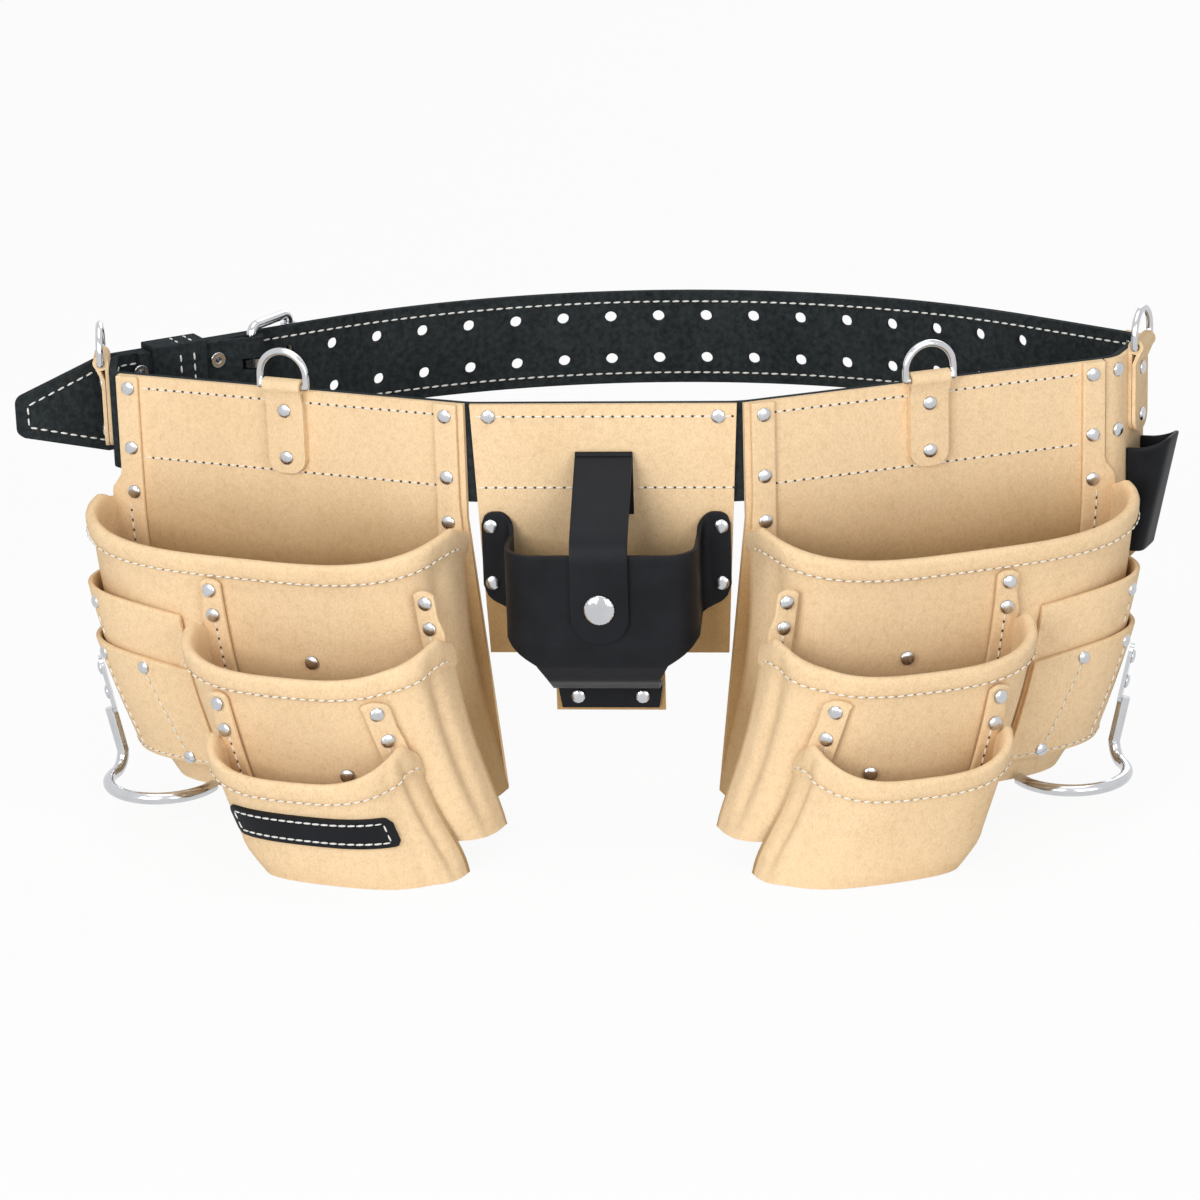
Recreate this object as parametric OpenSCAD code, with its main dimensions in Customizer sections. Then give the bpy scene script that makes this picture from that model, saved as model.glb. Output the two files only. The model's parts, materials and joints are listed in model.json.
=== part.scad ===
// Carpenter's tool belt: one buckled strap that carries two mirror-twin pouches of three
// gusseted pockets, a tape cup with a snap flap, a small holster and four D-rings.
// The origin is the centre of the waist loop at the belt's mid height, with the front along -Y.

/* [Belt] */
// Height of the belt strap
belt_h = 50; // [42:1:60]
// Thickness of the belt leather
belt_t = 3.5; // [2.5:0.1:4.4]
// Distance from the loop's centre to the strap at the centre panel
loop_front = 99; // [80:1:120]
// Turn of the left pouch away from the centre panel
left_turn = 17.5; // [10:0.5:24]
// Turn of the right pouch away from the centre panel
right_turn = 23.5; // [14:0.5:26]
// Bend radius of the strap between two panels
gap_bend_r = 30; // [15:1:60]
// Bend radius of the strap at the left end
left_bend_r = 7; // [5:0.5:14]
// Flat stretch of the strap at the left end
left_flat = 22; // [20:1:40]
// Bend radius of the strap at the right end
right_bend_r = 14; // [8:0.5:24]
// Flat stretch of the strap at the right end
right_flat = 27; // [24:1:50]
// Turn of the right end's first bend, in degrees
right_first_turn = 47; // [30:1:70]
// Angle of the buckle strap and the billet to the front
strap_turn = 34; // [26:1:42]
// Length of the buckle strap from the left end to its fold
strap_len = 70; // [68:1:110]
// Length of the strap's folded-back layer that lies flat
fold_len = 46; // [44:1:60]
// Straight stretch of the billet beyond the buckle's roller
billet_lead = 14; // [8:1:40]
// Length of the billet past the fold, up to its taper
billet_len = 80; // [80:1:160]
// Length of the billet's tapered tip
tip_taper = 48; // [25:1:60]
// Width of the billet's blunt end
tip_w = 20; // [12:1:32]

/* [Holes] */
// Diameter of the punched holes
hole_d = 6.2; // [5.4:0.1:8]
// Distance between two pairs of holes
hole_pitch = 25.4; // [18:0.1:32]
// Distance between the two rows of holes
row_gap = 23; // [18:0.5:28]
// Pairs of holes behind the buckle, towards the right end
hole_pairs = 17; // [6:1:18]

/* [Buckle] */
// Diameter of the frame's bar
bar_d = 5; // [4:0.1:6]
// Distance from the heel bar to the roller bar
buckle_len = 32; // [28:1:44]
// Room between the strap's edge and the frame's side bar
buckle_room = 2; // [1:0.5:5]
// Outer diameter of the roller
roller_d = 9; // [8:0.1:12]
// Diameter of a prong's wire
prong_d = 3.6; // [3:0.1:4.2]
// Width of the keeper loop
keeper_w = 30; // [20:1:32]
// Thickness of the keeper's leather
keeper_t = 2.4; // [1.5:0.1:3.5]
// Distance between the two columns of strap rivets
strap_rivet_gap = 43; // [38:1:50]

/* [Leather] */
// Thickness of the panels
panel_t = 2.5; // [1.6:0.1:3.5]
// Thickness of the pocket leather
pocket_t = 2.4; // [1.6:0.1:3.2]
// Extra thickness of a pocket's rolled hem
hem_t = 1.4; // [0.6:0.1:2.4]
// Height of a pocket's rolled hem
hem_h = 10; // [6:0.5:14]
// Width of a pocket's flange
flange_w = 15; // [13:0.5:20]
// Boxiness of the pockets, 2 for round and more for square
box_n = 3.6; // [3:0.1:5]

/* [Pouches] */
// Width of a pouch's back panel
panel_w = 190; // [170:1:210]
// Gap between two panels
panel_gap = 2; // [2:0.5:8]
// Sideways hang of the pockets towards the centre, at the main pocket's floor
hang = 25; // [0:1:32]
// Width of the main pocket at its floor
main_w = 186; // [170:1:200]
// Depth of the main pocket at its rim
main_rim_d = 56; // [44:1:70]
// Depth of the main pocket at its floor
main_floor_d = 46; // [34:1:60]
// Distance of the main pocket's middle from the pouch's middle, outwards
main_x = 4; // [0:0.5:8]
// Drop of the main pocket's rim below the belt's middle, at its sides
main_rim_z = 33; // [28:1:44]
// Drop of the main pocket's floor below the belt's middle
main_floor_z = 172; // [150:1:200]
// Width of the middle pocket at its floor
middle_w = 134; // [116:1:146]
// Depth of the middle pocket at its rim
middle_rim_d = 43; // [32:1:54]
// Depth of the middle pocket at its floor
middle_floor_d = 36; // [26:1:48]
// Distance of the middle pocket's middle from the pouch's middle
middle_x = 35; // [22:1:38]
// Drop of the middle pocket's rim, at its sides
middle_rim_z = 77; // [68:1:90]
// Drop of the middle pocket's floor
middle_floor_z = 176; // [174:1:200]
// Width of the front pocket at its floor
front_w = 110; // [90:1:116]
// Depth of the front pocket at its rim
front_rim_d = 27; // [20:1:36]
// Depth of the front pocket at its floor
front_floor_d = 25; // [18:1:34]
// Distance of the front pocket's middle from the pouch's middle
front_x = 35; // [30:1:42]
// Drop of the front pocket's rim, at its sides
front_rim_z = 122; // [110:1:130]
// Drop of the front pocket's floor
front_floor_z = 190; // [172:1:205]
// Sag of a rim's middle below its sides
rim_sag = 13; // [6:1:20]

/* [Hammer loops] */
// Diameter of the loop's bar
loop_bar_d = 6; // [4.5:0.5:8]
// Radius of the hoop at the middle of its bar
hoop_r = 28; // [20:1:34]
// Width of the riveted plate
plate_w = 15; // [12:1:20]
// Height of the riveted plate
plate_h = 30; // [26:1:40]

/* [Centre] */
// Width of the centre panel
centre_w = 130; // [116:1:150]
// Drop of the centre panel's lower edge below the belt's middle
centre_drop = 102; // [94:1:120]
// Half width of the tape cup
cup_hw = 47; // [38:1:50]
// Depth of the tape cup
cup_d = 42; // [34:1:54]
// Drop of the cup's rim below the belt's middle
cup_rim_z = 38; // [34:1:48]
// Width of the tape strap
strap_w = 28; // [20:1:36]
// Diameter of the snap's cap
snap_d = 15; // [12:0.5:18]

/* [Rings] */
// Width of a ring tab
tab_w = 20; // [16:0.5:20]
// Diameter of a D-ring's wire
ring_wire_d = 3.5; // [2.5:0.1:4.5]
// Inner width of a D-ring
ring_inner_w = 21.6; // [20.8:0.1:30]
// Diameter of a rivet's head
rivet_d = 7; // [5:0.1:8]

/* [Clearances] */
// Gap between soft pieces that lie on each other
soft_gap = 0.5; // [0.3:0.1:0.8]
// Running gap between parts that turn or pass
run_gap = 0.3; // [0.2:0.05:0.5]

/* [Hidden] */
$fn = 48;
tan_leather = "burlywood";
black_leather = "dimgray";
steel = "silver";
half_h = belt_h / 2;
belt_out = belt_t / 2;
sides = ["left", "right"];

// Plan of the strap. A pose is [x, y, heading], and a step is [length, turn, radius].
centre_run = centre_w / 2 + panel_gap / 2;
function arc_tan(turn) = gap_bend_r * tan(turn / 2);
function step(p, s) =
    s[1] == 0 ? [p[0] + s[0] * cos(p[2]), p[1] + s[0] * sin(p[2]), p[2]] :
    let (k = sign(s[1]) * s[2], h = p[2] + s[1])
    [p[0] + k * (sin(h) - sin(p[2])), p[1] - k * (cos(h) - cos(p[2])), h];
function walk(p, steps, n) = n == 0 ? p : step(walk(p, steps, n - 1), steps[n - 1]);
function run(len) = [len, 0, 0];
function bend(turn, r) = [0, turn, r];
function ahead(p, d) = step(p, run(d));
function aside(p, d) = [p[0] - d * sin(p[2]), p[1] + d * cos(p[2]), p[2]];

front_mid = [0, -loop_front, 0];
left_end_turn = (180 - left_turn - strap_turn) / 2;
right_last_turn = 180 - right_turn - strap_turn - right_first_turn;
right_steps = [
    run(centre_run - arc_tan(right_turn)),
    bend(right_turn, gap_bend_r),
    run(panel_w + panel_gap - arc_tan(right_turn)),
    bend(right_first_turn, right_bend_r),
    run(right_flat),
    bend(right_last_turn, right_bend_r)
];
left_steps = [
    run(centre_run - arc_tan(left_turn)),
    bend(-left_turn, gap_bend_r),
    run(panel_w + panel_gap - arc_tan(left_turn)),
    bend(-left_end_turn, left_bend_r),
    run(left_flat),
    bend(-left_end_turn, left_bend_r),
    run(strap_len)
];
left_start = [front_mid[0], front_mid[1], 180];
right_back = walk(front_mid, right_steps, 6);
strap_end = walk(left_start, left_steps, 7);

// The strap folds round the heel bar with a teardrop, and lies back on itself.
fold_r = bar_d / 2 + run_gap + belt_t / 2;
fold_turn = 20;
fold_ease_r = 10;
fold_slit = 0.3;
fold_drop = 2 * fold_r - belt_t - fold_slit;
fold_slope = (fold_drop - (fold_r + fold_ease_r) * (1 - cos(fold_turn))) / sin(fold_turn);
fold_steps = [
    bend(-180 - fold_turn, fold_r),
    run(fold_slope),
    bend(fold_turn, fold_ease_r),
    run(fold_len)
];
heel = aside(strap_end, -fold_r);

// The billet lies on the strap's outer face, and the back is one arc from it to the right end.
billet_off = belt_t + run_gap;
billet_at_fold = aside(strap_end, billet_off);
roller_off = billet_off + belt_out + run_gap + roller_d / 2;
buckle_tilt = asin((roller_off + fold_r) / buckle_len);
buckle_run = buckle_len * cos(buckle_tilt);
back_end = ahead(billet_at_fold, buckle_run + billet_lead);
cross_d = cos(strap_turn) * (right_back[1] - back_end[1])
    + sin(strap_turn) * (right_back[0] - back_end[0]);
cross_len = cross_d / sin(2 * strap_turn);
back_r = cross_len / tan(strap_turn);
cross = ahead(back_end, cross_len);
right_run = norm([cross[0] - right_back[0], cross[1] - right_back[1]]) - cross_len;
tip_corner_r = 5;
tip_slope = atan((half_h - tip_w / 2) / tip_taper);
tip_arc_y = tip_w / 2 - tip_corner_r * (1 - sin(tip_slope)) / cos(tip_slope);
function tip_arc(from, to, y) = [for (i = [0 : 6]) let (t = from + (to - from) * i / 6)
    [tip_taper - tip_corner_r + tip_corner_r * cos(t), y + tip_corner_r * sin(t)]];
back_steps = [
    run(right_run),
    bend(2 * strap_turn, back_r),
    run(buckle_run + billet_lead + billet_len + tip_taper)
];
billet_end = ahead(walk(right_back, back_steps, 3), -tip_taper);

module along(p) {
    translate([p[0], p[1], 0]) rotate(p[2]) children();
}

// Poses along one step, close enough together for a smooth bend, without the last one
bend_step = 5;
arc_step = 2;
function along_step(p, s) =
    s[1] == 0 ? [p] :
    let (n = ceil(abs(s[1]) / (s[2] > 100 ? arc_step : bend_step)))
    [for (i = [0 : n - 1]) step(p, bend(s[1] * i / n, s[2]))];
function along_steps(p, steps, first, last) = concat(
    [for (i = [first : last]) each along_step(walk(p, steps, i), steps[i])],
    [walk(p, steps, last + 1)]);
function turned_back(list) =
    [for (i = [len(list) - 1 : -1 : 0]) [list[i][0], list[i][1], list[i][2] + 180]];
function plan(p) = [p[0], p[1]];

// Upright band of thickness t along a list of poses, with its middle line moved outwards by off
module ribbon(poses, t, z0, z1, off) {
    n = len(poses);
    translate([0, 0, z0]) linear_extrude(z1 - z0) polygon(concat(
        [for (p = poses) plan(aside(p, t / 2 - off))],
        [for (i = [n - 1 : -1 : 0]) plan(aside(poses[i], -t / 2 - off))]));
}

belt_path = concat(
    turned_back(along_steps(left_start, concat(left_steps, fold_steps), 0, 10)),
    along_steps(front_mid, concat(right_steps, back_steps), 1, 8));

// Frames of the panels, with X along the panel, -Y outwards and the strap's outer face at Y = 0.
function mid_of(p, d, side) = let (q = ahead(p, d)) [q[0], q[1], side > 0 ? q[2] : q[2] - 180];
pouch_left = mid_of(walk(left_start, left_steps, 2), panel_w / 2 + panel_gap / 2 - arc_tan(left_turn), -1);
pouch_right = mid_of(walk(front_mid, right_steps, 2), panel_w / 2 + panel_gap / 2 - arc_tan(right_turn), 1);
left_end_mid = mid_of(walk(left_start, left_steps, 4), left_flat / 2, -1);
right_end_mid = mid_of(walk(front_mid, right_steps, 4), right_flat / 2, 1);

module on_face(p) {
    along(p) translate([0, -belt_out, 0]) children();
}

module on_pouch(side) {
    if (side == "left") on_face(pouch_left) children();
    else on_face(pouch_right) mirror([1, 0, 0]) children();
}

// Rivets
rivet_head_h = 1.8;
rivet_shank_d = 3.4;
burr_h = 1;
rivet_hole_d = rivet_shank_d + 2 * run_gap / 3;
rivet_inset = 7;
// The centre panel's rivets stay clear of the strap's bends beside it
centre_inset = rivet_inset + 2;
rivet_top = 6;
rivet_mid = 12;

// Domed head with its seat at Y = 0 and its crown towards -Y
module rivet_head(d) {
    rotate([90, 0, 0]) rotate_extrude()
        polygon(concat([[0, 0], [d / 2, 0]],
            [for (a = [0 : 15 : 90]) [d / 2 * cos(a), 0.5 + (rivet_head_h - 0.5) * sin(a)]]));
}

// Rivet from a seat at -Y to the burr behind, through a stack of the given thickness
module rivet(stack) {
    translate([0, -stack, 0]) rivet_head(rivet_d);
    rotate([90, 0, 0]) cylinder(d = rivet_shank_d, h = stack);
    rotate([-90, 0, 0]) cylinder(d = rivet_d, h = burr_h);
}

module rivet_hole(stack) {
    translate([0, 1, 0]) rotate([90, 0, 0]) cylinder(d = rivet_hole_d, h = stack + 2);
}

// Rivets that hold the panels and the pockets' strips on the strap
main_swell = 10;
strip_w = 12;
strip_in = 2;
strip_xs = [rivet_inset - panel_w / 2, (main_w + main_swell) / 2 - main_x - strip_in - strip_w / 2];
strip_spots = [for (x = strip_xs) for (z = [half_h - rivet_top, -rivet_mid]) [x, z]];
centre_spots = [for (x = [-1, 1]) [x * (centre_w / 2 - centre_inset), half_h - rivet_top]];
tab_spots = [half_h - 9.8, -9];
end_rivet_zs = [half_h - rivet_top, -rivet_mid];

module at_strip_spots() {
    for (s = strip_spots) translate([s[0], 0, s[1]]) children();
}

// Pockets. A pocket is [width, rim depth, floor depth, middle x, rim drop, floor drop, strip top, swell].
middle_swell = -6;
front_swell = -12;
middle_strip_z = -main_rim_z - 24;
front_strip_z = -middle_rim_z - 24;
main = [main_w, main_rim_d, main_floor_d, -main_x, main_rim_z, main_floor_z, half_h, main_swell];
middle = [middle_w, middle_rim_d, middle_floor_d, middle_x, middle_rim_z, middle_floor_z,
    middle_strip_z, middle_swell];
front = [front_w, front_rim_d, front_floor_d, front_x, front_rim_z, front_floor_z, front_strip_z, front_swell];
floor_t = 2.6;
step_a = 9;
strip_low = 12;
carry = 0.88;
lean_from = main_rim_z;
function power(v, e) = sign(v) * pow(abs(v), e);
function rim_mid(p) = p[4] + rim_sag;
function share(p, z) = min(1, max(0, (p[5] + z) / (p[5] - rim_mid(p))));
function width_at(p, f) = p[0] + p[7] * f;
function depth_at(p, f) = p[2] + (p[1] - p[2]) * f;
function rim_at(p, a) = -p[4] - rim_sag * pow(max(0, sin(a)), 1.5);
function lean_x(z) = hang * pow(max(0, -z - lean_from) / (main_floor_z - lean_from), 2);

// Outer face of a pocket as a depth over what carries it, level beyond its corners
function bulge(p, x, z) =
    let (f = share(p, z), u = min(carry, abs(2 * (x - p[3]) / width_at(p, f))))
    depth_at(p, f) * pow(1 - pow(u, box_n), 1 / box_n);
function stack(list, n, x, z) =
    n == 0 ? panel_t : stack(list, n - 1, x, z) + soft_gap + bulge(list[n - 1], x, z);
pockets = [main, middle, front];
function put(x, y, z) = [x + lean_x(z), -y, z];

// One column of a pocket's wall: a is the angle round the outline, in is the inset of the skin
function wall_xy(p, f, a, in, hem) =
    [p[3] - (width_at(p, f) / 2 - in + hem) * power(cos(a), 2 / box_n),
     in + (depth_at(p, f) - 2 * in + hem) * pow(max(0, sin(a)), 2 / box_n)];
function ring(p, list, n, f, in, hem) =
    let (w = width_at(p, f) / 2, z0 = -p[5],
        out = n == 0 ? width_at(p, 1) / 2 - p[3] - panel_w / 2 : 4 + in,
        back = n == 0 ? strip_in : out,
        lap = n == 0 ? strip_w : flange_w - out,
        low = n == 0 ? -p[4] + strip_low : p[6] - strip_low,
        edge = [for (e = [[out + lap, p[6]], [out, p[6]], [out - 1, low]]) [p[3] - w + e[0], in, e[1]]],
        far = [for (e = [[back - 1, low], [back, p[6]], [back + lap, p[6]]]) [p[3] + w - e[0], in, e[1]]],
        wall = [for (a = [0 : step_a : 180]) let (q = wall_xy(p, f, a, in, hem)) [q[0], q[1], rim_at(p, a)]])
    [for (q = concat(edge, wall, far))
        let (z = z0 + f * (q[2] - z0), base = n == 0 ? panel_t : stack(list, n, q[0], z))
        put(q[0], base + q[1], z)];

// Shell of a pocket: outer rings from the floor up, inner rings from the floor's top up
module pocket(index) {
    p = pockets[index];
    tall = p[5] - rim_mid(p);
    hem_f = 1 - hem_h / tall;
    floor_f = floor_t / tall;
    levels = [[0, 0], [floor_f, 0], [0.25, 0], [0.5, 0], [0.7, 0], [hem_f - 0.02, 0],
        [hem_f, hem_t], [1, hem_t]];
    top = len(levels) - 1;
    outer = [for (l = levels) ring(p, pockets, index, l[0], 0, l[1])];
    inner = [for (i = [1 : top]) ring(p, pockets, index, levels[i][0], pocket_t, 0)];
    n = len(outer[0]);
    function o(k, i) = k * n + i;
    function q(k, i) = (top + 1) * n + (k - 1) * n + i;
    function quad(a, b, c, d) = [[a, b, c], [a, c, d]];
    function spread(list) = [for (l = list) for (f = l) f];
    half = floor((n - 1) / 2);
    function cap(g) = concat(
        [[g[3], g[2], g[4]], [g[2], g[1], g[4]], [g[1], g[0], g[4]], [g[0], g[n - 1], g[4]],
         [g[n - 1], g[n - 5], g[4]], [g[n - 1], g[n - 2], g[n - 5]], [g[n - 2], g[n - 3], g[n - 5]],
         [g[n - 3], g[n - 4], g[n - 5]]],
        spread([for (j = [4 : half - 1]) j + 1 < n - 2 - j ?
            quad(g[j], g[n - 1 - j], g[n - 2 - j], g[j + 1]) : [[g[j], g[n - 1 - j], g[j + 1]]]]));
    function turned(list) = [for (f = list) [f[2], f[1], f[0]]];
    faces = concat(
        turned(cap([for (i = [0 : n - 1]) o(0, i)])),
        cap([for (i = [0 : n - 1]) q(1, i)]),
        quad(o(0, n - 1), o(1, n - 1), o(1, 0), o(0, 0)),
        quad(o(1, 0), o(1, n - 1), q(1, n - 1), q(1, 0)),
        spread([for (k = [0 : top - 1]) for (i = [0 : n - 2])
            quad(o(k, i), o(k + 1, i), o(k + 1, i + 1), o(k, i + 1))]),
        spread([for (k = [1 : top - 1]) for (i = [0 : n - 2])
            quad(q(k, i + 1), q(k + 1, i + 1), q(k + 1, i), q(k, i))]),
        spread([for (k = [1 : top - 1]) concat(
            quad(o(k, n - 1), o(k + 1, n - 1), q(k + 1, n - 1), q(k, n - 1)),
            quad(q(k, 0), q(k + 1, 0), o(k + 1, 0), o(k, 0)))]),
        spread([for (i = [0 : n - 2]) quad(o(top, i), q(top, i), q(top, i + 1), o(top, i + 1))]));
    polyhedron(concat(spread(outer), spread(inner)), faces);
}

// Thick sheet between a face and a back, each a list of rows from the bottom up
module sheet(face, back) {
    rows = len(face);
    n = len(face[0]);
    function a(k, i) = k * n + i;
    function b(k, i) = rows * n + k * n + i;
    function quad(p, q, r, s) = [[p, q, r], [p, r, s]];
    function spread(list) = [for (l = list) for (f = l) f];
    faces = concat(
        spread([for (k = [0 : rows - 2]) for (i = [0 : n - 2]) concat(
            quad(a(k, i), a(k + 1, i), a(k + 1, i + 1), a(k, i + 1)),
            quad(b(k, i + 1), b(k + 1, i + 1), b(k + 1, i), b(k, i)))]),
        spread([for (k = [0 : rows - 2]) concat(
            quad(b(k, 0), b(k + 1, 0), a(k + 1, 0), a(k, 0)),
            quad(a(k, n - 1), a(k + 1, n - 1), b(k + 1, n - 1), b(k, n - 1)))]),
        spread([for (i = [0 : n - 2]) concat(
            quad(a(rows - 1, i), b(rows - 1, i), b(rows - 1, i + 1), a(rows - 1, i + 1)),
            quad(b(0, i), a(0, i), a(0, i + 1), b(0, i + 1)))]));
    polyhedron(concat(spread(face), spread(back)), faces);
}

// A point off the main pocket's outer wall, at an angle round its outline
function main_spot(a, z, off) =
    let (f = share(main, z), q = wall_xy(main, f, a, 0, 0),
        d = wall_xy(main, f, a + 0.5, 0, 0) - wall_xy(main, f, a - 0.5, 0, 0),
        n = [-d[1], d[0]] / norm(d))
    put(q[0] + n[0] * off, panel_t + q[1] + n[1] * off, z);

// Flat tool pockets on the outer side of the main pocket
tool_from = 5;
tool_to = 63;
tool_top = [72, 100];
tool_low = [150, 158];
tool_open = 4.5;
tool_dip = 6;
module tool_pocket(i) {
    gap = soft_gap + i * (pocket_t + soft_gap);
    steps = 10;
    function skin(off) = [for (k = [0 : 4]) [for (j = [0 : steps])
        let (u = j / steps, f = k / 4, top = -tool_top[i] - tool_dip * u + 2 * tool_dip * u * (1 - u),
            z = -tool_low[i] + f * (top + tool_low[i]),
            open = max(0, min(1, (tool_low[0] + z) / (tool_low[0] - tool_top[0]))),
            belly = tool_open * (1 + i / 2) * pow(sin(180 * u), 2) * open)
        main_spot(tool_from + (tool_to - tool_from) * u, z, gap + off + belly)]];
    sheet(skin(pocket_t), skin(0));
}

// Hammer loop: a plate on the main pocket's corner and a bar bent to a level hoop
loop_angle = 24;
loop_z = -127;
plate_t = 2;
plate_corner_r = 5;
lean_turn = atan(lean_x(loop_z - 0.5) - lean_x(loop_z + 0.5));
loop_spot = main_spot(loop_angle, loop_z, soft_gap);
loop_out = main_spot(loop_angle, loop_z, soft_gap + 1) - loop_spot;
loop_turn = atan2(loop_out[1], loop_out[0]) + 90;
drop_len = 20;
drop_bend_r = 9;
loop_seat = 2 * (pocket_t + soft_gap) + 3.3;
hoop_turn = 177;
loop_spots = [plate_h / 2 - 6, -plate_h / 2 + 11];
loop_low = -plate_h / 2 - drop_len;
loop_side = loop_bar_d / 2 * [sin(loop_turn), -cos(loop_turn)];
// Where the leaning bar ends and the level hoop begins
loop_foot = [loop_side[0] * cos(lean_turn) - loop_low * sin(lean_turn), loop_side[1],
    loop_side[0] * sin(lean_turn) + loop_low * cos(lean_turn)];
module on_loop() {
    translate(loop_spot + loop_out * loop_seat) children();
}

module hammer_loop() {
    bar_r = loop_bar_d / 2;
    rotate([0, -lean_turn, 0]) {
        rotate(loop_turn) difference() {
            plate_out(plate_t) offset(plate_corner_r)
                square([plate_w - 2 * plate_corner_r, plate_h - 2 * plate_corner_r], center = true);
            for (z = loop_spots) translate([0, 0, z]) rivet_hole(plate_t);
        }
        translate([loop_side[0], loop_side[1], loop_low]) cylinder(r = bar_r, h = drop_len + 3);
    }
    translate(loop_foot) {
        sphere(bar_r);
        translate([0, -drop_bend_r, 0]) rotate([0, 90, 0])
            rotate_extrude(angle = 90) translate([drop_bend_r, 0]) circle(bar_r);
        translate([hoop_r, -drop_bend_r, -drop_bend_r]) rotate(180)
            rotate_extrude(angle = hoop_turn) translate([hoop_r, 0]) circle(bar_r);
    }
}

module loop_rivets() {
    rotate([0, -lean_turn, 0]) rotate(loop_turn) for (z = loop_spots) translate([0, 0, z]) {
        translate([0, -plate_t, 0]) rivet_head(rivet_d);
        rotate([90, 0, 0]) cylinder(d = rivet_shank_d, h = plate_t);
    }
}

// Heads of the rivets on the pockets' flanges, and on the walls behind the next pocket's rim
flange_inset = 9;
function flange_half(p, z) = width_at(p, (p[5] + z) / (p[5] + p[6])) / 2 - flange_inset;
function flange_spots(i) = let (p = pockets[i]) i == 0 ?
    [for (x = strip_xs) [x, -p[4] - 2]] :
    [for (m = [-1, 1]) for (z = [p[6] - 6, -p[4] + 1]) [p[3] + m * flange_half(p, z), z]];
wall_spots = [[middle_x - 8, -rim_mid(middle) - 7], [front_x + 16, -rim_mid(front) - 5]];
seat_gap = 0.1;
// How far a head's rim has to stand off to clear the leather that rises round it
function head_lift(n, x, z, slope) = max([for (t = [0 : 30 : 330])
    let (dx = rivet_d / 2 * cos(t), dz = rivet_d / 2 * sin(t), across = dx + lean_x(z) - lean_x(z + dz))
    stack(pockets, n, x + across, z + dz) - stack(pockets, n, x, z) - slope * dx]);
module head_on(n, x, z, off) {
    slope = (stack(pockets, n, x + 1, z) - stack(pockets, n, x - 1, z)) / 2;
    y = stack(pockets, n, x, z) + off + seat_gap + max(0, head_lift(n, x, z, slope));
    translate(put(x, y, z)) rotate(-atan(slope)) rivet_head(rivet_d);
}
module flange_rivets(i) {
    for (s = flange_spots(i)) head_on(i, s[0], s[1], pocket_t);
}
module wall_rivets() {
    for (i = [0, 1]) head_on(i + 1, wall_spots[i][0], wall_spots[i][1], -soft_gap);
}

// Centre panel with a tongue for the cup's lower flange
tongue_hw = 27;
tongue_drop = centre_drop + 30;
centre_taper = 6;
module plate_out(t) {
    rotate([90, 0, 0]) linear_extrude(t) children();
}

// What is cut from an upper right corner at the origin to round it
module corner_cut(r) {
    difference() {
        translate([-r, -r]) square(r + 1);
        translate([-r, -r]) circle(r);
    }
}

// Tape cup: one sheet with ears, a bulged front and a tongue that turns back to the panel
cup_t = 2.2;
cup_r = 16;
ear_r = 4;
ear_len = 10;
cup_foot = 26;
cup_side = cup_d - cup_r - ear_r;
ear_at = cup_hw - cup_r + cup_r * PI / 2 + cup_side + ear_r * PI / 2;
cup_full = ear_at + ear_len;
cup_a1 = cup_hw - cup_r;
cup_a2 = cup_a1 + cup_r * PI / 2;
cup_a3 = cup_a2 + cup_side;
cup_cols = [[0, 0], [3, cup_a1], [7, cup_a2], [8, cup_a3], [11, ear_at], [13, cup_full]];
ear_top = 9;
ear_drop = 34;
ear_corner_r = 6;
function cup_spot(q, d) =
    q < cup_a1 ? [q, d, 0] :
    q < cup_a2 ? let (t = (q - cup_a1) / cup_r * 180 / PI)
        [cup_a1 + cup_r * sin(t), d - cup_r + cup_r * cos(t), t] :
    q < cup_a3 ? [cup_hw, d - cup_r - (q - cup_a2), 90] :
    q < ear_at ? let (t = (q - cup_a3) / ear_r * 180 / PI)
        [cup_hw + ear_r - ear_r * cos(t), ear_r - ear_r * sin(t), 90 - t] :
    [cup_hw + ear_r + q - ear_at, 0, 0];
// Rows of the cup from its foot up: drop, depth and half length along the sheet
cup_rows = [
    [centre_drop + 28, 0, cup_foot - 2],
    [centre_drop + 16, 0, cup_foot],
    [centre_drop + 13, 7, cup_foot],
    [centre_drop + 10, 20, cup_foot],
    [centre_drop + 2, 33, cup_foot + 1],
    [centre_drop - 8, cup_d - 2, cup_foot + 6],
    [cup_rim_z + 46, cup_d, cup_hw - cup_r + 18],
    [cup_rim_z + 40, cup_d, ear_at - 2],
    [cup_rim_z + ear_drop, cup_d, cup_full],
    [cup_rim_z + 16, cup_d, cup_full],
    [cup_rim_z, cup_d, cup_full]
];
module cup_sheet() {
    cols = 13;
    top = len(cup_rows) - 1;
    function point(k, j, in) =
        let (r = cup_rows[k], q = lookup(abs(j), cup_cols) / cup_full * r[2], c = cup_spot(q, r[1]),
            lift = k == top && q > ear_at - 3 ? ear_top : 0)
        [sign(j) * (c[0] - in * sin(c[2])), -panel_t - c[1] - cup_t + in * cos(c[2]), -r[0] + lift];
    function skin(in) = [for (k = [0 : top]) [for (j = [-cols : cols]) point(k, j, in)]];
    sheet(skin(0), skin(cup_t));
}
cup_face = panel_t + cup_d + cup_t;
ear_spots = [for (x = [-1, 1]) for (z = [-cup_rim_z + 2, -cup_rim_z - 27]) [x * (cup_hw + ear_r + 5.5), z]];
foot_spots = [for (x = [-1, 1]) [x * 16, -centre_drop - 22]];

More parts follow.
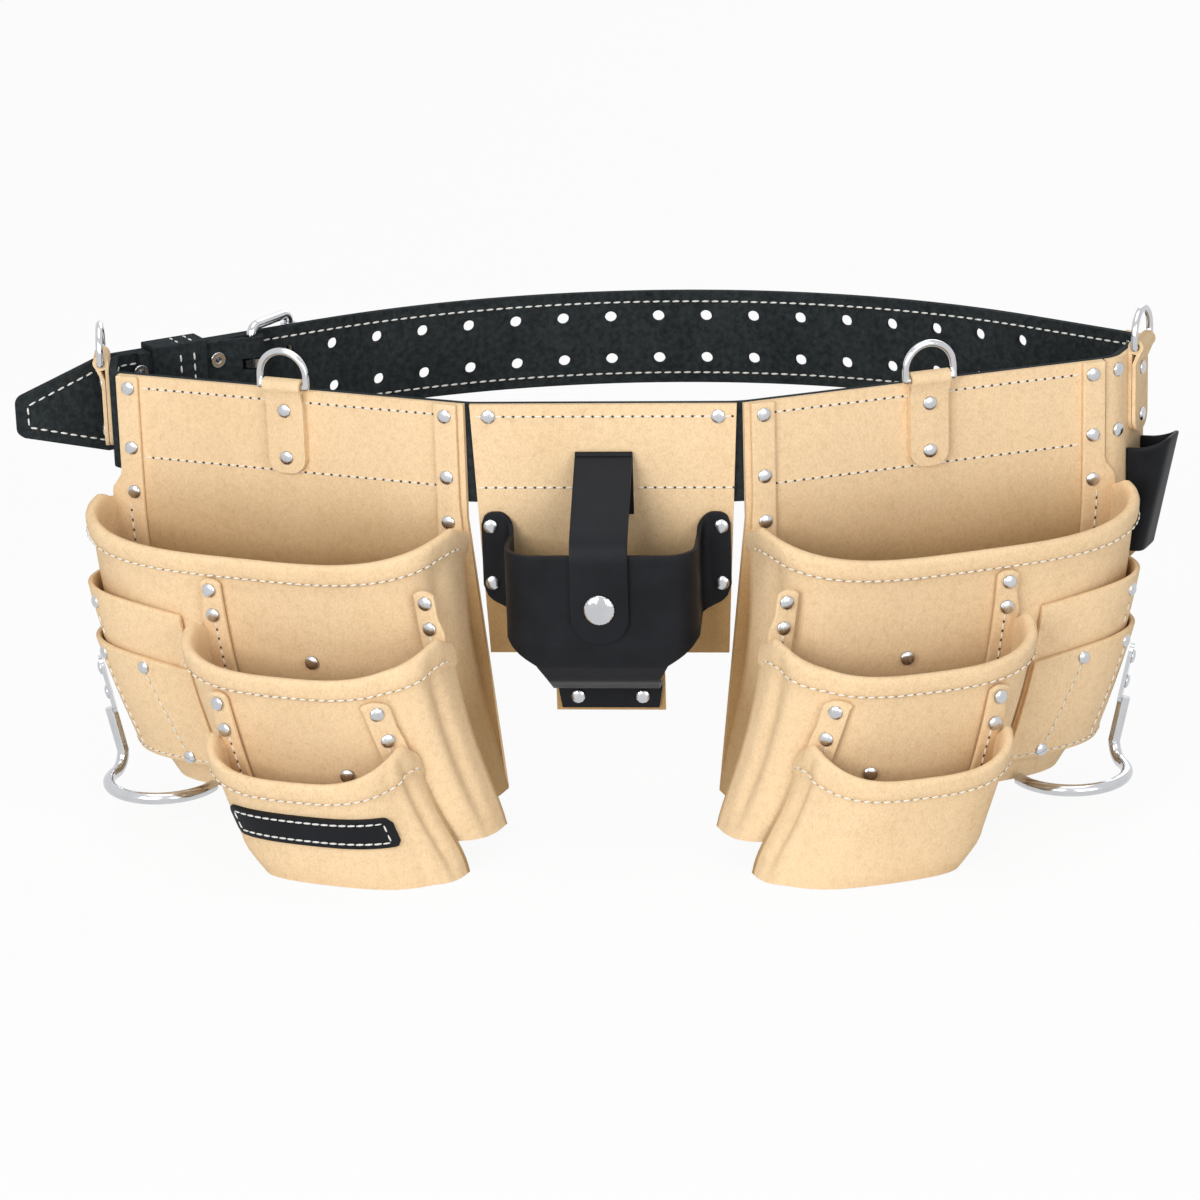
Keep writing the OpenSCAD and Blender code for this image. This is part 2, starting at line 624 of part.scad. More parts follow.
// Tape strap: a sewn stretch on the panel, and a flap that swings on its fold
strap_t = 2.2;
strap_low = cup_rim_z - 8;
hinge_z = 0;
hinge_r = 1.7;
hinge_w = panel_t + hinge_r;
flap_low = cup_rim_z + 44;
flap_in = cup_face + soft_gap;
flap_out = flap_in + strap_t;
snap_z = -cup_rim_z - 26;
flap_bend_z = -cup_rim_z + 4;
stud_d = 5;
stud_h = 1.4;
socket_d = 8.6;
snap_cap_h = 3;
flap_end_r = strap_w / 2;

flap_fall = atan2(flap_in - hinge_w, hinge_z - flap_bend_z) - 90;
module flap_profile() {
    lift = strap_t / 2 * [sin(-flap_fall), cos(flap_fall)];
    difference() {
        polygon([
            [hinge_w, hinge_z] + lift, [flap_out - 3, flap_bend_z + 2.4], [flap_out - 0.6, flap_bend_z - 0.6],
            [flap_out, flap_bend_z - 4], [flap_out, -flap_low], [flap_in, -flap_low],
            [flap_in, flap_bend_z - 5], [flap_in - 1, flap_bend_z - 2.6], [hinge_w, hinge_z] - lift
        ]);
        translate([hinge_w, hinge_z]) circle(hinge_r + run_gap);
    }
}

// Ring tabs: a strip folded over the ring's bar, and the D-ring itself
tab_t = 1.9;
tab_bar_r = ring_wire_d / 2 + run_gap;
tab_loop_r = tab_bar_r + tab_t;
tab_low = -17;
tab_corner_r = 8;
tab_bar_z = half_h + tab_loop_r - 1;
tab_ease = 9;
tab_stack = 2 * tab_t + run_gap;
ring_r = (ring_inner_w + ring_wire_d) / 2;
ring_leg = 5;

module ring_tab(base) {
    bar_y = -base - tab_loop_r;
    difference() {
        union() {
            translate([-tab_w / 2, bar_y, tab_bar_z]) rotate([0, 90, 0]) cylinder(r = tab_loop_r, h = tab_w);
            translate([-tab_w / 2, -base - tab_t, tab_low]) cube([tab_w, tab_t, tab_bar_z - tab_low]);
            translate([-tab_w / 2, 0, 0]) rotate([90, 0, 90]) linear_extrude(tab_w) polygon([
                [bar_y - tab_loop_r, tab_bar_z], [bar_y - tab_bar_r, tab_bar_z],
                [-base - tab_t - run_gap, tab_bar_z - tab_ease], [-base - tab_t - run_gap, tab_low],
                [-base - tab_stack, tab_low], [-base - tab_stack, tab_bar_z - tab_ease]]);
        }
        translate([-tab_w / 2 - 1, bar_y, tab_bar_z]) rotate([0, 90, 0])
            cylinder(r = tab_bar_r, h = tab_w + 2);
        for (z = tab_spots) translate([0, -base, z]) rivet_hole(tab_stack);
        for (m = [0, 1]) mirror([m, 0, 0]) translate([tab_w / 2, -base + 1, tab_low]) plate_out(tab_stack + 2)
            mirror([0, 1]) corner_cut(tab_corner_r);
    }
}

module d_ring(base) {
    wire = ring_wire_d / 2;
    translate([0, -base - tab_loop_r, tab_bar_z]) {
        translate([-ring_r, 0, 0]) rotate([0, 90, 0]) cylinder(r = wire, h = 2 * ring_r);
        for (x = [-ring_r, ring_r]) translate([x, 0, 0]) {
            sphere(wire);
            cylinder(r = wire, h = ring_leg);
        }
        translate([0, 0, ring_leg]) rotate([90, 0, 0])
            rotate_extrude(angle = 180, $fn = 96) translate([ring_r, 0]) circle(wire);
    }
}

// Right end panel and holster
end_drop = 84;
holster_w = 25;
holster_d = 9;
holster_mouth_z = -24;
holster_low_z = -78;
holster_t = 2;
holster_flare = 13;
holster_lip_rise = 6;

// Places of the tabs
front_tab_x = 0;
module at_tab(i) {
    if (i == 0) on_face(left_end_mid) children();
    else if (i == 1) on_face(pouch_left) translate([-front_tab_x, 0, 0]) children();
    else if (i == 2) on_face(pouch_right) translate([front_tab_x, 0, 0]) children();
    else on_face(right_end_mid) children();
}
tab_base = [0, panel_t, panel_t, panel_t + seat_gap];

// Buckle frame of reference: X along the billet towards the back, Y outwards, at the heel bar
module at_heel() {
    along(heel) children();
}
frame_z = half_h + buckle_room + bar_d / 2;
corner_r = 5;
roller_at = [buckle_run, roller_off + fold_r];
prong_eye_r = bar_d / 2 + run_gap;
prong_loop_r = prong_eye_r + prong_d / 2 + 0.5;
prong_eye_out = prong_loop_r + prong_d / 3;
prong_eye_h = prong_d + 0.8;
prong_slot = prong_eye_h + 1.6;
prong_rise = 62;
prong_bend_r = 6;
prong_lay = roller_at[1] + roller_d / 2 + run_gap + prong_d / 2;
prong_climb = (prong_lay - prong_loop_r * cos(prong_rise)
    - prong_bend_r * (1 - cos(prong_rise))) / sin(prong_rise);
prong_foot = [-prong_loop_r * sin(prong_rise), prong_loop_r * cos(prong_rise)];
prong_play = 4;

prong_reach = roller_at[0] + roller_d / 2 + 2;
prong_start = [prong_foot[0], prong_foot[1], prong_rise];
prong_top = walk(prong_start, [run(prong_climb), bend(-prong_rise, prong_bend_r)], 2);
prong_poses = along_steps(prong_start,
    [run(prong_climb), bend(-prong_rise, prong_bend_r), run(prong_reach - prong_top[0])], 0, 2);

module prong(z) {
    w = prong_d / 2;
    n = len(prong_poses);
    tip = prong_poses[n - 1];
    translate([0, 0, z]) difference() {
        union() {
            cylinder(r = prong_eye_out, h = prong_eye_h, center = true);
            linear_extrude(prong_d, center = true) polygon(concat(
                [for (p = prong_poses) plan(aside(p, w))],
                [for (t = [75 : -15 : -75]) plan(tip) + w * [cos(t), sin(t)]],
                [for (i = [n - 1 : -1 : 0]) plan(aside(prong_poses[i], -w))]));
        }
        cylinder(r = prong_eye_r, h = prong_eye_h + 1, center = true);
    }
}

// Room that a prong sweeps in the billet and the fold
module prong_room(z) {
    w = prong_d + 4 * run_gap;
    translate([0, 0, z]) for (t = [0, prong_play]) rotate(t)
        translate([prong_foot[0], prong_foot[1], -w / 2]) rotate(prong_rise)
            translate([0, -w / 2, 0]) cube([prong_climb, w, w]);
}

strap_rivet_spots = [for (x = [-8, -8 - strap_rivet_gap]) for (z = [-1, 1]) [x - 12, z * (half_h - 9.5)]];
tube_d = 5;
tube_bore = 3;
tube_flange_d = 8;
tube_flange_h = 1.2;
strap_stack = 2 * belt_t + fold_slit;

// Subparts

module belt_strap() {
    color(black_leather) difference() {
        ribbon(belt_path, belt_t, -half_h, half_h, 0);
        along(billet_end) translate([0, belt_t, 0]) plate_out(2 * belt_t) difference() {
            translate([0, -belt_h]) square([2 * tip_taper, 2 * belt_h]);
            polygon(concat(
                [[-1, half_h], [-1, -half_h], [0, -half_h]],
                tip_arc(tip_slope - 90, 0, -tip_arc_y), tip_arc(0, 90 - tip_slope, tip_arc_y),
                [[0, half_h]]));
        }
        for (side = sides) on_pouch(side) at_strip_spots() translate([0, belt_t, 0]) rivet_hole(2 * belt_t);
        on_face(front_mid) for (s = centre_spots) translate([s[0], belt_t, s[1]]) rivet_hole(2 * belt_t);
        for (i = [0 : 3]) at_tab(i) for (z = tab_spots) translate([0, belt_t, z]) rivet_hole(2 * belt_t);
        at_end_rivets() translate([0, belt_t, 0]) rivet_hole(2 * belt_t);
        belt_holes();
        at_heel() for (z = [-1, 1]) {
            prong_room(z * row_gap / 2);
            translate([-prong_eye_out - 1, -fold_r - belt_t, z * row_gap / 2 - prong_slot / 2])
                cube([2 * prong_eye_out + 2, fold_r + belt_t + prong_eye_out + run_gap, prong_slot]);
        }
        at_heel() for (s = strap_rivet_spots) translate([s[0], 0, s[1]]) rotate([90, 0, 0])
            translate([0, 0, -fold_r - belt_out - run_gap / 2])
                cylinder(d = tube_d + run_gap, h = 3 * fold_r);
    }
}

// Pairs of holes along the billet and the back, from the prongs onwards
prong_hole_at = prong_foot[0] + (billet_off + fold_r - prong_foot[1]) / tan(prong_rise);
module belt_holes() {
    lead = buckle_run + billet_lead - prong_hole_at;
    spin = 180 / PI / back_r;
    for (k = [-2 : hole_pairs]) for (z = [-1, 1]) {
        s = k * hole_pitch;
        h = s < lead ? 0 : (s - lead) * spin;
        p = s < lead ? ahead(billet_at_fold, prong_hole_at + s) : step(back_end, bend(-h, back_r));
        along(p) translate([0, belt_t, z * row_gap / 2]) rotate([90, 0, 0])
            cylinder(d = hole_d, h = 2 * belt_t);
    }
}

module belt_keeper() {
    in_y = -belt_out - belt_t - fold_slit - run_gap;
    out_y = billet_off + belt_out + run_gap;
    h = half_h + run_gap;
    x = -8 - 12 - strap_rivet_gap / 2 - keeper_w / 2;
    color(black_leather) along(strap_end) translate([x, 0, 0]) rotate([90, 0, 90]) linear_extrude(keeper_w)
        difference() {
            translate([in_y - keeper_t, -h - keeper_t])
                square([out_y - in_y + 2 * keeper_t, 2 * h + 2 * keeper_t]);
            translate([in_y, -h]) square([out_y - in_y, 2 * h]);
        }
}

module buckle_frame() {
    bar_r = bar_d / 2;
    side_run = buckle_len - 2 * corner_r;
    color(steel) at_heel() rotate(buckle_tilt) {
        for (x = [0, buckle_len]) translate([x, 0, -frame_z + corner_r])
            cylinder(r = bar_r, h = 2 * (frame_z - corner_r));
        for (m = [0, 1]) mirror([0, 0, m]) {
            translate([corner_r, 0, frame_z]) rotate([0, 90, 0]) cylinder(r = bar_r, h = side_run);
            translate([corner_r, 0, frame_z - corner_r]) rotate([90, 0, 0]) rotate(90)
                rotate_extrude(angle = 90) translate([corner_r, 0]) circle(bar_r);
            translate([buckle_len - corner_r, 0, frame_z - corner_r]) rotate([90, 0, 0])
                rotate_extrude(angle = 90) translate([corner_r, 0]) circle(bar_r);
        }
    }
}

module buckle_roller() {
    h = 2 * (frame_z - corner_r) - 2 * run_gap;
    color(steel) at_heel() rotate(buckle_tilt) translate([buckle_len, 0, -h / 2]) difference() {
        cylinder(d = roller_d, h = h);
        translate([0, 0, -1]) cylinder(d = bar_d + 2 * run_gap, h = h + 2);
    }
}

module buckle_prong_upper() {
    color(steel) at_heel() prong(row_gap / 2);
}

module buckle_prong_lower() {
    color(steel) at_heel() prong(-row_gap / 2);
}

module buckle_rivets() {
    color(steel) along(strap_end) for (s = strap_rivet_spots)
        translate([s[0], belt_out, s[1]]) rotate([90, 0, 0]) difference() {
            union() {
                cylinder(d = tube_d, h = strap_stack);
                translate([0, 0, strap_stack]) cylinder(d = tube_flange_d, h = tube_flange_h);
            }
            translate([0, 0, 1]) cylinder(d = tube_bore, h = strap_stack + tube_flange_h);
        }
}

panel_trim = 9;
module back_panel(side) {
    color(tan_leather) on_pouch(side) difference() {
        plate_out(panel_t) polygon([
            [-panel_w / 2, half_h], [panel_w / 2, half_h], [panel_w / 2, -main_rim_z],
            [panel_w / 2 + lean_x(-main_floor_z) - panel_trim, -main_floor_z],
            [-panel_w / 2 + lean_x(-main_floor_z), -main_floor_z], [-panel_w / 2, -main_rim_z]]);
        at_strip_spots() rivet_hole(panel_t);
        for (z = tab_spots) translate([0, 0, z]) rivet_hole(panel_t);
    }
}
module left_back_panel() { back_panel("left"); }
module right_back_panel() { back_panel("right"); }

module main_pocket(side) {
    color(tan_leather) on_pouch(side) difference() {
        pocket(0);
        at_strip_spots() translate([0, -panel_t, 0]) rivet_hole(pocket_t);
    }
}
module left_main_pocket() { main_pocket("left"); }
module right_main_pocket() { main_pocket("right"); }
module left_middle_pocket() { color(tan_leather) on_pouch("left") pocket(1); }
module right_middle_pocket() { color(tan_leather) on_pouch("right") pocket(1); }
module left_front_pocket() { color(tan_leather) on_pouch("left") pocket(2); }
module right_front_pocket() { color(tan_leather) on_pouch("right") pocket(2); }
module left_upper_tool_pocket() { color(tan_leather) on_pouch("left") tool_pocket(0); }
module right_upper_tool_pocket() { color(tan_leather) on_pouch("right") tool_pocket(0); }
module left_lower_tool_pocket() { color(tan_leather) on_pouch("left") tool_pocket(1); }
module right_lower_tool_pocket() { color(tan_leather) on_pouch("right") tool_pocket(1); }
module left_hammer_loop() { color(steel) on_pouch("left") on_loop() hammer_loop(); }
module right_hammer_loop() { color(steel) on_pouch("right") on_loop() hammer_loop(); }
module left_hammer_loop_rivets() { color(steel) on_pouch("left") on_loop() loop_rivets(); }
module right_hammer_loop_rivets() { color(steel) on_pouch("right") on_loop() loop_rivets(); }

module pocket_rivets(side) {
    color(steel) on_pouch(side) {
        for (i = [0 : 2]) flange_rivets(i);
        wall_rivets();
    }
}
module left_pocket_rivets() { pocket_rivets("left"); }
module right_pocket_rivets() { pocket_rivets("right"); }

patch_from = front_x - 42;
patch_to = front_x + 40;
patch_h = 15;
patch_t = 1.2;
patch_z = -front_rim_z - rim_sag - 18;
module blank_patch() {
    cols = 10;
    function skin(off) = [for (z = [patch_z - patch_h, patch_z]) [for (j = [0 : cols])
        let (x = patch_from + (patch_to - patch_from) * j / cols)
        put(x, stack(pockets, 3, x, z) + soft_gap + off, z)]];
    color(black_leather) on_pouch("left") sheet(skin(patch_t), skin(0));
}

module centre_panel() {
    color(tan_leather) on_face(front_mid) difference() {
        plate_out(panel_t) polygon([
            [-centre_w / 2, half_h], [centre_w / 2, half_h], [centre_w / 2 - centre_taper, -centre_drop],
            [tongue_hw, -centre_drop], [tongue_hw, -tongue_drop], [-tongue_hw, -tongue_drop],
            [-tongue_hw, -centre_drop], [-centre_w / 2 + centre_taper, -centre_drop]]);
        for (s = concat(centre_spots, ear_spots, foot_spots)) translate([s[0], 0, s[1]]) rivet_hole(panel_t);
    }
}

module tape_cup() {
    color(black_leather) on_face(front_mid) difference() {
        cup_sheet();
        for (s = concat(ear_spots, foot_spots)) translate([s[0], -panel_t, s[1]]) rivet_hole(cup_t);
        for (m = [0, 1]) mirror([m, 0, 0]) translate([cup_hw + ear_r + ear_len, -panel_t + 1, 0]) {
            translate([0, 0, -cup_rim_z + ear_top]) plate_out(cup_t + 2) corner_cut(ear_corner_r);
            translate([0, 0, -cup_rim_z - ear_drop]) plate_out(cup_t + 2) mirror([0, 1])
                corner_cut(ear_corner_r);
        }
    }
}

module tape_cup_rivets() {
    color(steel) on_face(front_mid) for (s = concat(ear_spots, foot_spots))
        translate([s[0], 0, s[1]]) rivet(panel_t + cup_t);
}

module tape_strap() {
    color(black_leather) on_face(front_mid) translate([-strap_w / 2, 0, 0]) {
        translate([0, -panel_t - strap_t, -strap_low]) cube([strap_w, strap_t, strap_low + hinge_z]);
        translate([0, -hinge_w, hinge_z]) rotate([0, 90, 0]) cylinder(r = hinge_r, h = strap_w);
    }
}

module tape_flap() {
    color(black_leather) on_face(front_mid) difference() {
        translate([-strap_w / 2, 0, 0]) rotate([90, 0, 90]) mirror([1, 0, 0])
            linear_extrude(strap_w) flap_profile();
        translate([0, 0, -flap_low + flap_end_r]) rotate([90, 0, 0]) difference() {
            translate([-strap_w, -strap_w, flap_in - 1]) cube([2 * strap_w, strap_w, strap_t + 2]);
            translate([0, 0, flap_in - 2]) cylinder(r = flap_end_r, h = strap_t + 4);
        }
        translate([0, -flap_in + 1, snap_z]) rotate([90, 0, 0])
            cylinder(d = socket_d + 2 + run_gap, h = strap_t + 2);
    }
}

module snap_cap() {
    color(steel) on_face(front_mid) translate([0, -flap_in, snap_z]) rotate([90, 0, 0]) difference() {
        union() {
            cylinder(d = socket_d + 2, h = strap_t);
            translate([0, 0, strap_t]) rotate_extrude() polygon(concat([[0, 0], [snap_d / 2, 0]],
                [for (a = [0 : 15 : 90]) [snap_d / 2 * cos(a), 0.8 + (snap_cap_h - 0.8) * sin(a)]]));
        }
        translate([0, 0, -1]) cylinder(d = socket_d, h = strap_t);
    }
}

module snap_stud() {
    color(steel) on_face(front_mid) translate([0, -cup_face, snap_z]) rotate([90, 0, 0]) {
        cylinder(d = socket_d - 0.8, h = soft_gap - 0.1);
        cylinder(d = stud_d, h = stud_h);
    }
}

module right_end_panel() {
    off = belt_out + panel_t / 2;
    color(tan_leather) difference() {
        ribbon(along_steps(front_mid, right_steps, 3, 5), panel_t, -end_drop, half_h, off);
        for (z = tab_spots) on_face(right_end_mid) translate([0, 0, z]) rivet_hole(panel_t);
        at_end_rivets() rivet_hole(panel_t);
    }
}

// Rivets on the two bends of the right end panel, with room for the bend under the burr
end_sag = 0.6;
end_poses = [for (i = [3, 5]) step(walk(front_mid, right_steps, i), bend(right_steps[i][1] / 2, right_bend_r))];
module at_end_rivets() {
    for (p = end_poses) on_face(p) for (z = end_rivet_zs) translate([0, 0, z]) children();
}
module end_panel_rivets() {
    color(steel) at_end_rivets() translate([0, belt_t + end_sag, 0])
        rivet(belt_t + end_sag + panel_t + seat_gap);
}

module tool_holster() {
    lip = holster_d + holster_flare;
    color(black_leather) on_face(right_end_mid) translate([0, -panel_t - seat_gap, 0]) rotate([90, 0, 90])
        mirror([1, 0, 0]) difference() {
            translate([0, 0, -holster_w / 2]) linear_extrude(holster_w) polygon([
                [0, holster_low_z], [holster_d, holster_low_z],
                [lip, holster_mouth_z + holster_lip_rise], [0, holster_mouth_z]]);
            translate([0, 0, -holster_w / 2 + holster_t]) linear_extrude(holster_w - 2 * holster_t) polygon([
                [-1, holster_low_z + holster_t], [holster_d - holster_t, holster_low_z + holster_t],
                [lip - holster_t, holster_mouth_z + holster_lip_rise + 1], [-1, holster_mouth_z + 1]]);
        }
}

module left_end_ring_tab() { color(tan_leather) at_tab(0) ring_tab(tab_base[0]); }
module left_front_ring_tab() { color(tan_leather) at_tab(1) ring_tab(tab_base[1]); }
module right_front_ring_tab() { color(tan_leather) at_tab(2) ring_tab(tab_base[2]); }
module right_end_ring_tab() { color(tan_leather) at_tab(3) ring_tab(tab_base[3]); }
module left_end_ring() { color(steel) at_tab(0) d_ring(tab_base[0]); }
module left_front_ring() { color(steel) at_tab(1) d_ring(tab_base[1]); }
module right_front_ring() { color(steel) at_tab(2) d_ring(tab_base[2]); }
module right_end_ring() { color(steel) at_tab(3) d_ring(tab_base[3]); }

module ring_tab_rivets() {
    color(steel) for (i = [0 : 3]) at_tab(i) translate([0, belt_t, 0])
        for (z = tab_spots) translate([0, 0, z]) rivet(belt_t + tab_base[i] + tab_stack);
}

module panel_rivets() {
    color(steel) {
        for (side = sides) on_pouch(side) at_strip_spots() translate([0, belt_t, 0])
            rivet(belt_t + panel_t + pocket_t);
        on_face(front_mid) for (s = centre_spots) translate([s[0], belt_t, s[1]]) rivet(belt_t + panel_t);
    }
}

belt_strap();
belt_keeper();
buckle_frame();
buckle_roller();
buckle_prong_upper();
buckle_prong_lower();
buckle_rivets();
left_back_panel();
right_back_panel();
left_main_pocket();
right_main_pocket();
left_middle_pocket();
right_middle_pocket();
left_front_pocket();
right_front_pocket();
left_upper_tool_pocket();
right_upper_tool_pocket();
left_lower_tool_pocket();
right_lower_tool_pocket();
left_hammer_loop();
right_hammer_loop();
left_hammer_loop_rivets();
right_hammer_loop_rivets();
left_pocket_rivets();
right_pocket_rivets();
blank_patch();
centre_panel();
tape_cup();
tape_cup_rivets();
tape_strap();
tape_flap();
snap_cap();
snap_stud();
right_end_panel();
end_panel_rivets();
tool_holster();
left_end_ring_tab();
left_front_ring_tab();
right_front_ring_tab();
right_end_ring_tab();
left_end_ring();
left_front_ring();
right_front_ring();
right_end_ring();
ring_tab_rivets();
panel_rivets();
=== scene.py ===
"""Looks of a leather tool belt: a Blender add-on in form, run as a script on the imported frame."""

import json
import math
from collections import namedtuple

import bpy
import numpy as np
from bpy.props import FloatProperty, FloatVectorProperty, PointerProperty
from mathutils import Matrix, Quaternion, Vector, noise


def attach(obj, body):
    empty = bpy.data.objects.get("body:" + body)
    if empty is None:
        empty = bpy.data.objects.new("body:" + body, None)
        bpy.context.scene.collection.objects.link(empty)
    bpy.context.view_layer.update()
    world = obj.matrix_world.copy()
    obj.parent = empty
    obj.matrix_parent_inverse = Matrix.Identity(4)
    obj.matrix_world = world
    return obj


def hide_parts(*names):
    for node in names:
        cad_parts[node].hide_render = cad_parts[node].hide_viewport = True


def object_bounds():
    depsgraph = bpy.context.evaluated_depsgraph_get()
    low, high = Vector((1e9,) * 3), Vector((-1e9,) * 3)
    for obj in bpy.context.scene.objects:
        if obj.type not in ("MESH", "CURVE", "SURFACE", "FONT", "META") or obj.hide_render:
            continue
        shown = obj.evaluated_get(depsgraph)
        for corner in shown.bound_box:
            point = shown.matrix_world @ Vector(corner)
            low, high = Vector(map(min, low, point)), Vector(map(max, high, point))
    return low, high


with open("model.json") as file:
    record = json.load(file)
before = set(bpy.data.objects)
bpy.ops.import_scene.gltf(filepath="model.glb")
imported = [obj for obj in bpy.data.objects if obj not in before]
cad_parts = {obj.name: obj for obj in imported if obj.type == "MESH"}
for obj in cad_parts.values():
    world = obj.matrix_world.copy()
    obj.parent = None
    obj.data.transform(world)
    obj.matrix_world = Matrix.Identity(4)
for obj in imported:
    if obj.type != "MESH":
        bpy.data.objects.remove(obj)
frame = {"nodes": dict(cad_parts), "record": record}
CAD_BOX = [list(corner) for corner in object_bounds()]
JOINTS = {joint["name"]: joint for joint in frame["record"]["behaviour"]["joints"]}

bl_info = {
    "name": "Leather Tool Belt",
    "version": (1, 0, 0),
    "blender": (4, 5, 0),
    "location": "View3D > Sidebar > Tool Belt",
    "description": "Dresses the packed tool belt in suede, smooth leather, thread and bright steel",
    "category": "Object",
}

MM = 0.001
BELT_OUT = 1.75
PANEL_T = 2.5
LEATHER_T = 2.4
SOFT_GAP = 0.5
BOX_N = 3.6
CARRY = 0.88
RIM_SAG = 13.0
HANG = 25.0
HANG_FROM = 33.0
HANG_TO = 172.0
FRONT_Y = -99.0
RING_BAR = 3.95

TUCK_SHARE, TUCK_OUTER, TUCK_INNER, TUCK_FRONT = 0.2, 10.0, 2.0, 2.5
FOLD_AT, FOLD_SPREAD, FOLD_INNER, FOLD_OUTER = 73, 7.5, 3.4, 2.2

# Width at the floor, depths, middle along the panel, drops of rim and floor, top of the
# flanges, and how much wider the rim is than the floor
Pocket = namedtuple("Pocket", "width rim_depth floor_depth middle rim floor flange_top swell")
POCKETS = [
    Pocket(186.0, 56.0, 46.0, -4.0, 33.0, 172.0, 25.0, 10.0),
    Pocket(134.0, 43.0, 36.0, 35.0, 77.0, 176.0, -57.0, -6.0),
    Pocket(110.0, 27.0, 25.0, 35.0, 122.0, 190.0, -101.0, -12.0),
]
POCKET_NAMES = ["main_pocket", "middle_pocket", "front_pocket"]
SIDES = ["left", "right"]


# Places in the frame, in millimetres until the last step

def ring_place(joint, base):
    """Point on the strap's middle line under a ring, and the panel's heading."""
    spot = JOINTS[joint]["pos_m"]
    along = JOINTS[joint]["axis"]
    heading = math.atan2(along[1], along[0])
    back = BELT_OUT + base + RING_BAR
    x = spot[0] / MM - math.sin(heading) * back
    return (x, spot[1] / MM + math.cos(heading) * back, heading)


POUCH_PLACE = {
    "left": ring_place("left_front_ring_swing", PANEL_T) + (1,),
    "right": ring_place("right_front_ring_swing", PANEL_T) + (-1,),
}
END_PLACE = ring_place("right_end_ring_swing", PANEL_T + 0.1) + (1,)
CENTRE_PLACE = (0.0, FRONT_Y, 0.0, 1)


def spot_on(place, x, out, z):
    """A point x along a panel, out from the strap's outer face and z up."""
    px, py, heading, hand = place
    c, s = math.cos(heading), math.sin(heading)
    lx, ly = hand * x, -BELT_OUT - out
    return Vector(((px + c * lx - s * ly) * MM, (py + s * lx + c * ly) * MM, z * MM))


def signed_power(value, exponent):
    return math.copysign(abs(value) ** exponent, value)


def ease(value):
    value = min(1.0, max(0.0, value))
    return value * value * (3 - 2 * value)


def hang(z):
    """Sideways hang of the pockets towards the centre."""
    return HANG * (max(0.0, -z - HANG_FROM) / (HANG_TO - HANG_FROM)) ** 2


def tall(p):
    """Height of a pocket at the middle of its front."""
    return p.floor - p.rim - RIM_SAG


def share(p, z):
    """How far up a pocket z lies, from 0 at the floor to 1 at the rim."""
    return min(1.0, max(0.0, (p.floor + z) / tall(p)))


def width_at(p, f):
    return p.width + p.swell * f


def depth_at(p, f):
    return p.floor_depth + (p.rim_depth - p.floor_depth) * f


def bulge(p, x, z):
    """How far a pocket's front stands out at x and z, as a piece on it sees it."""
    f = share(p, z)
    u = min(CARRY, abs(2 * (x - p.middle) / width_at(p, f)))
    return depth_at(p, f) * (1 - u ** BOX_N) ** (1 / BOX_N)


def carried(count, x, z):
    """How far out the faces of the pockets behind a piece reach."""
    out = PANEL_T
    for p in POCKETS[:count]:
        out += SOFT_GAP + bulge(p, x, z)
    return out


def rim_z(p, angle):
    end = max(0.0, 1 - (90 - abs(math.degrees(angle) - 90)) / 7)
    return -p.rim - RIM_SAG * max(0.0, math.sin(angle)) ** 1.5 - 6 * end * end


def wall_spot(index, angle, f, out, soft):
    """A point of a pocket's wall: angle round it, f from floor to rim, out from its face."""
    p = POCKETS[index]
    c, s = math.cos(angle), max(0.0, math.sin(angle))
    z = -p.floor + f * (rim_z(p, angle) + p.floor)
    tuck = max(0.0, 1 - f / TUCK_SHARE)
    half = width_at(p, f) / 2 - (TUCK_OUTER * tuck if c > 0 else TUCK_INNER * tuck * tuck) * abs(c)
    depth = depth_at(p, f) - TUCK_FRONT * tuck * tuck
    low = math.sin(math.pi * min(1.0, max(0.0, f))) ** 0.7
    side = math.exp(-((abs(math.degrees(angle) - 90) - FOLD_AT) / FOLD_SPREAD) ** 2)
    fold = (FOLD_INNER if c < 0 else 0.0 if index == 0 else FOLD_OUTER) * side * low
    wave = noise.noise(Vector((math.degrees(angle) / 31 + 7 * index, z / 38, index * 3.1)))
    sink = fold + soft * low * (0.5 + 0.5 * wave)
    x = p.middle - (half + out - sink) * signed_power(c, 2 / BOX_N)
    y = (depth + out - sink) * s ** (2 / BOX_N)
    return x + hang(z), carried(index, x, z) + max(0.0, y), z


def main_spot(angle, z, out):
    """A point off the main pocket's plain outer wall, which the tool pockets follow."""
    p = POCKETS[0]

    def flat(a):
        f = share(p, z)
        return Vector((p.middle - width_at(p, f) / 2 * signed_power(math.cos(a), 2 / BOX_N),
                       depth_at(p, f) * max(0.0, math.sin(a)) ** (2 / BOX_N)))
    near = 0.009
    step = flat(angle + near) - flat(angle - near)
    normal = Vector((-step.y, step.x)).normalized()
    at = flat(angle) + normal * out
    return at.x + hang(z), PANEL_T + at.y, z


# The strap's path, walked as in the part: a pose is x, y and heading

def walk(pose, step):
    """The pose after a step, which is (length, 0) for a run and (radius, turn) for a bend."""
    x, y, heading = pose
    size, turn = step
    if turn == 0:
        return (x + size * math.cos(heading), y + size * math.sin(heading), heading)
    k = math.copysign(size, turn)
    ahead = heading + turn
    x += k * (math.sin(ahead) - math.sin(heading))
    return (x, y - k * (math.cos(ahead) - math.cos(heading)), ahead)


def poses_along(pose, steps, pitch=3.0):
    """Evenly close poses along a list of steps."""
    out = [pose]
    for size, turn in steps:
        count = max(1, math.ceil((abs(turn) * size if turn else size) / pitch))
        for i in range(1, count + 1):
            out.append(walk(pose, (size, turn * i / count) if turn else (size * i / count, 0)))
        pose = out[-1]
    return out


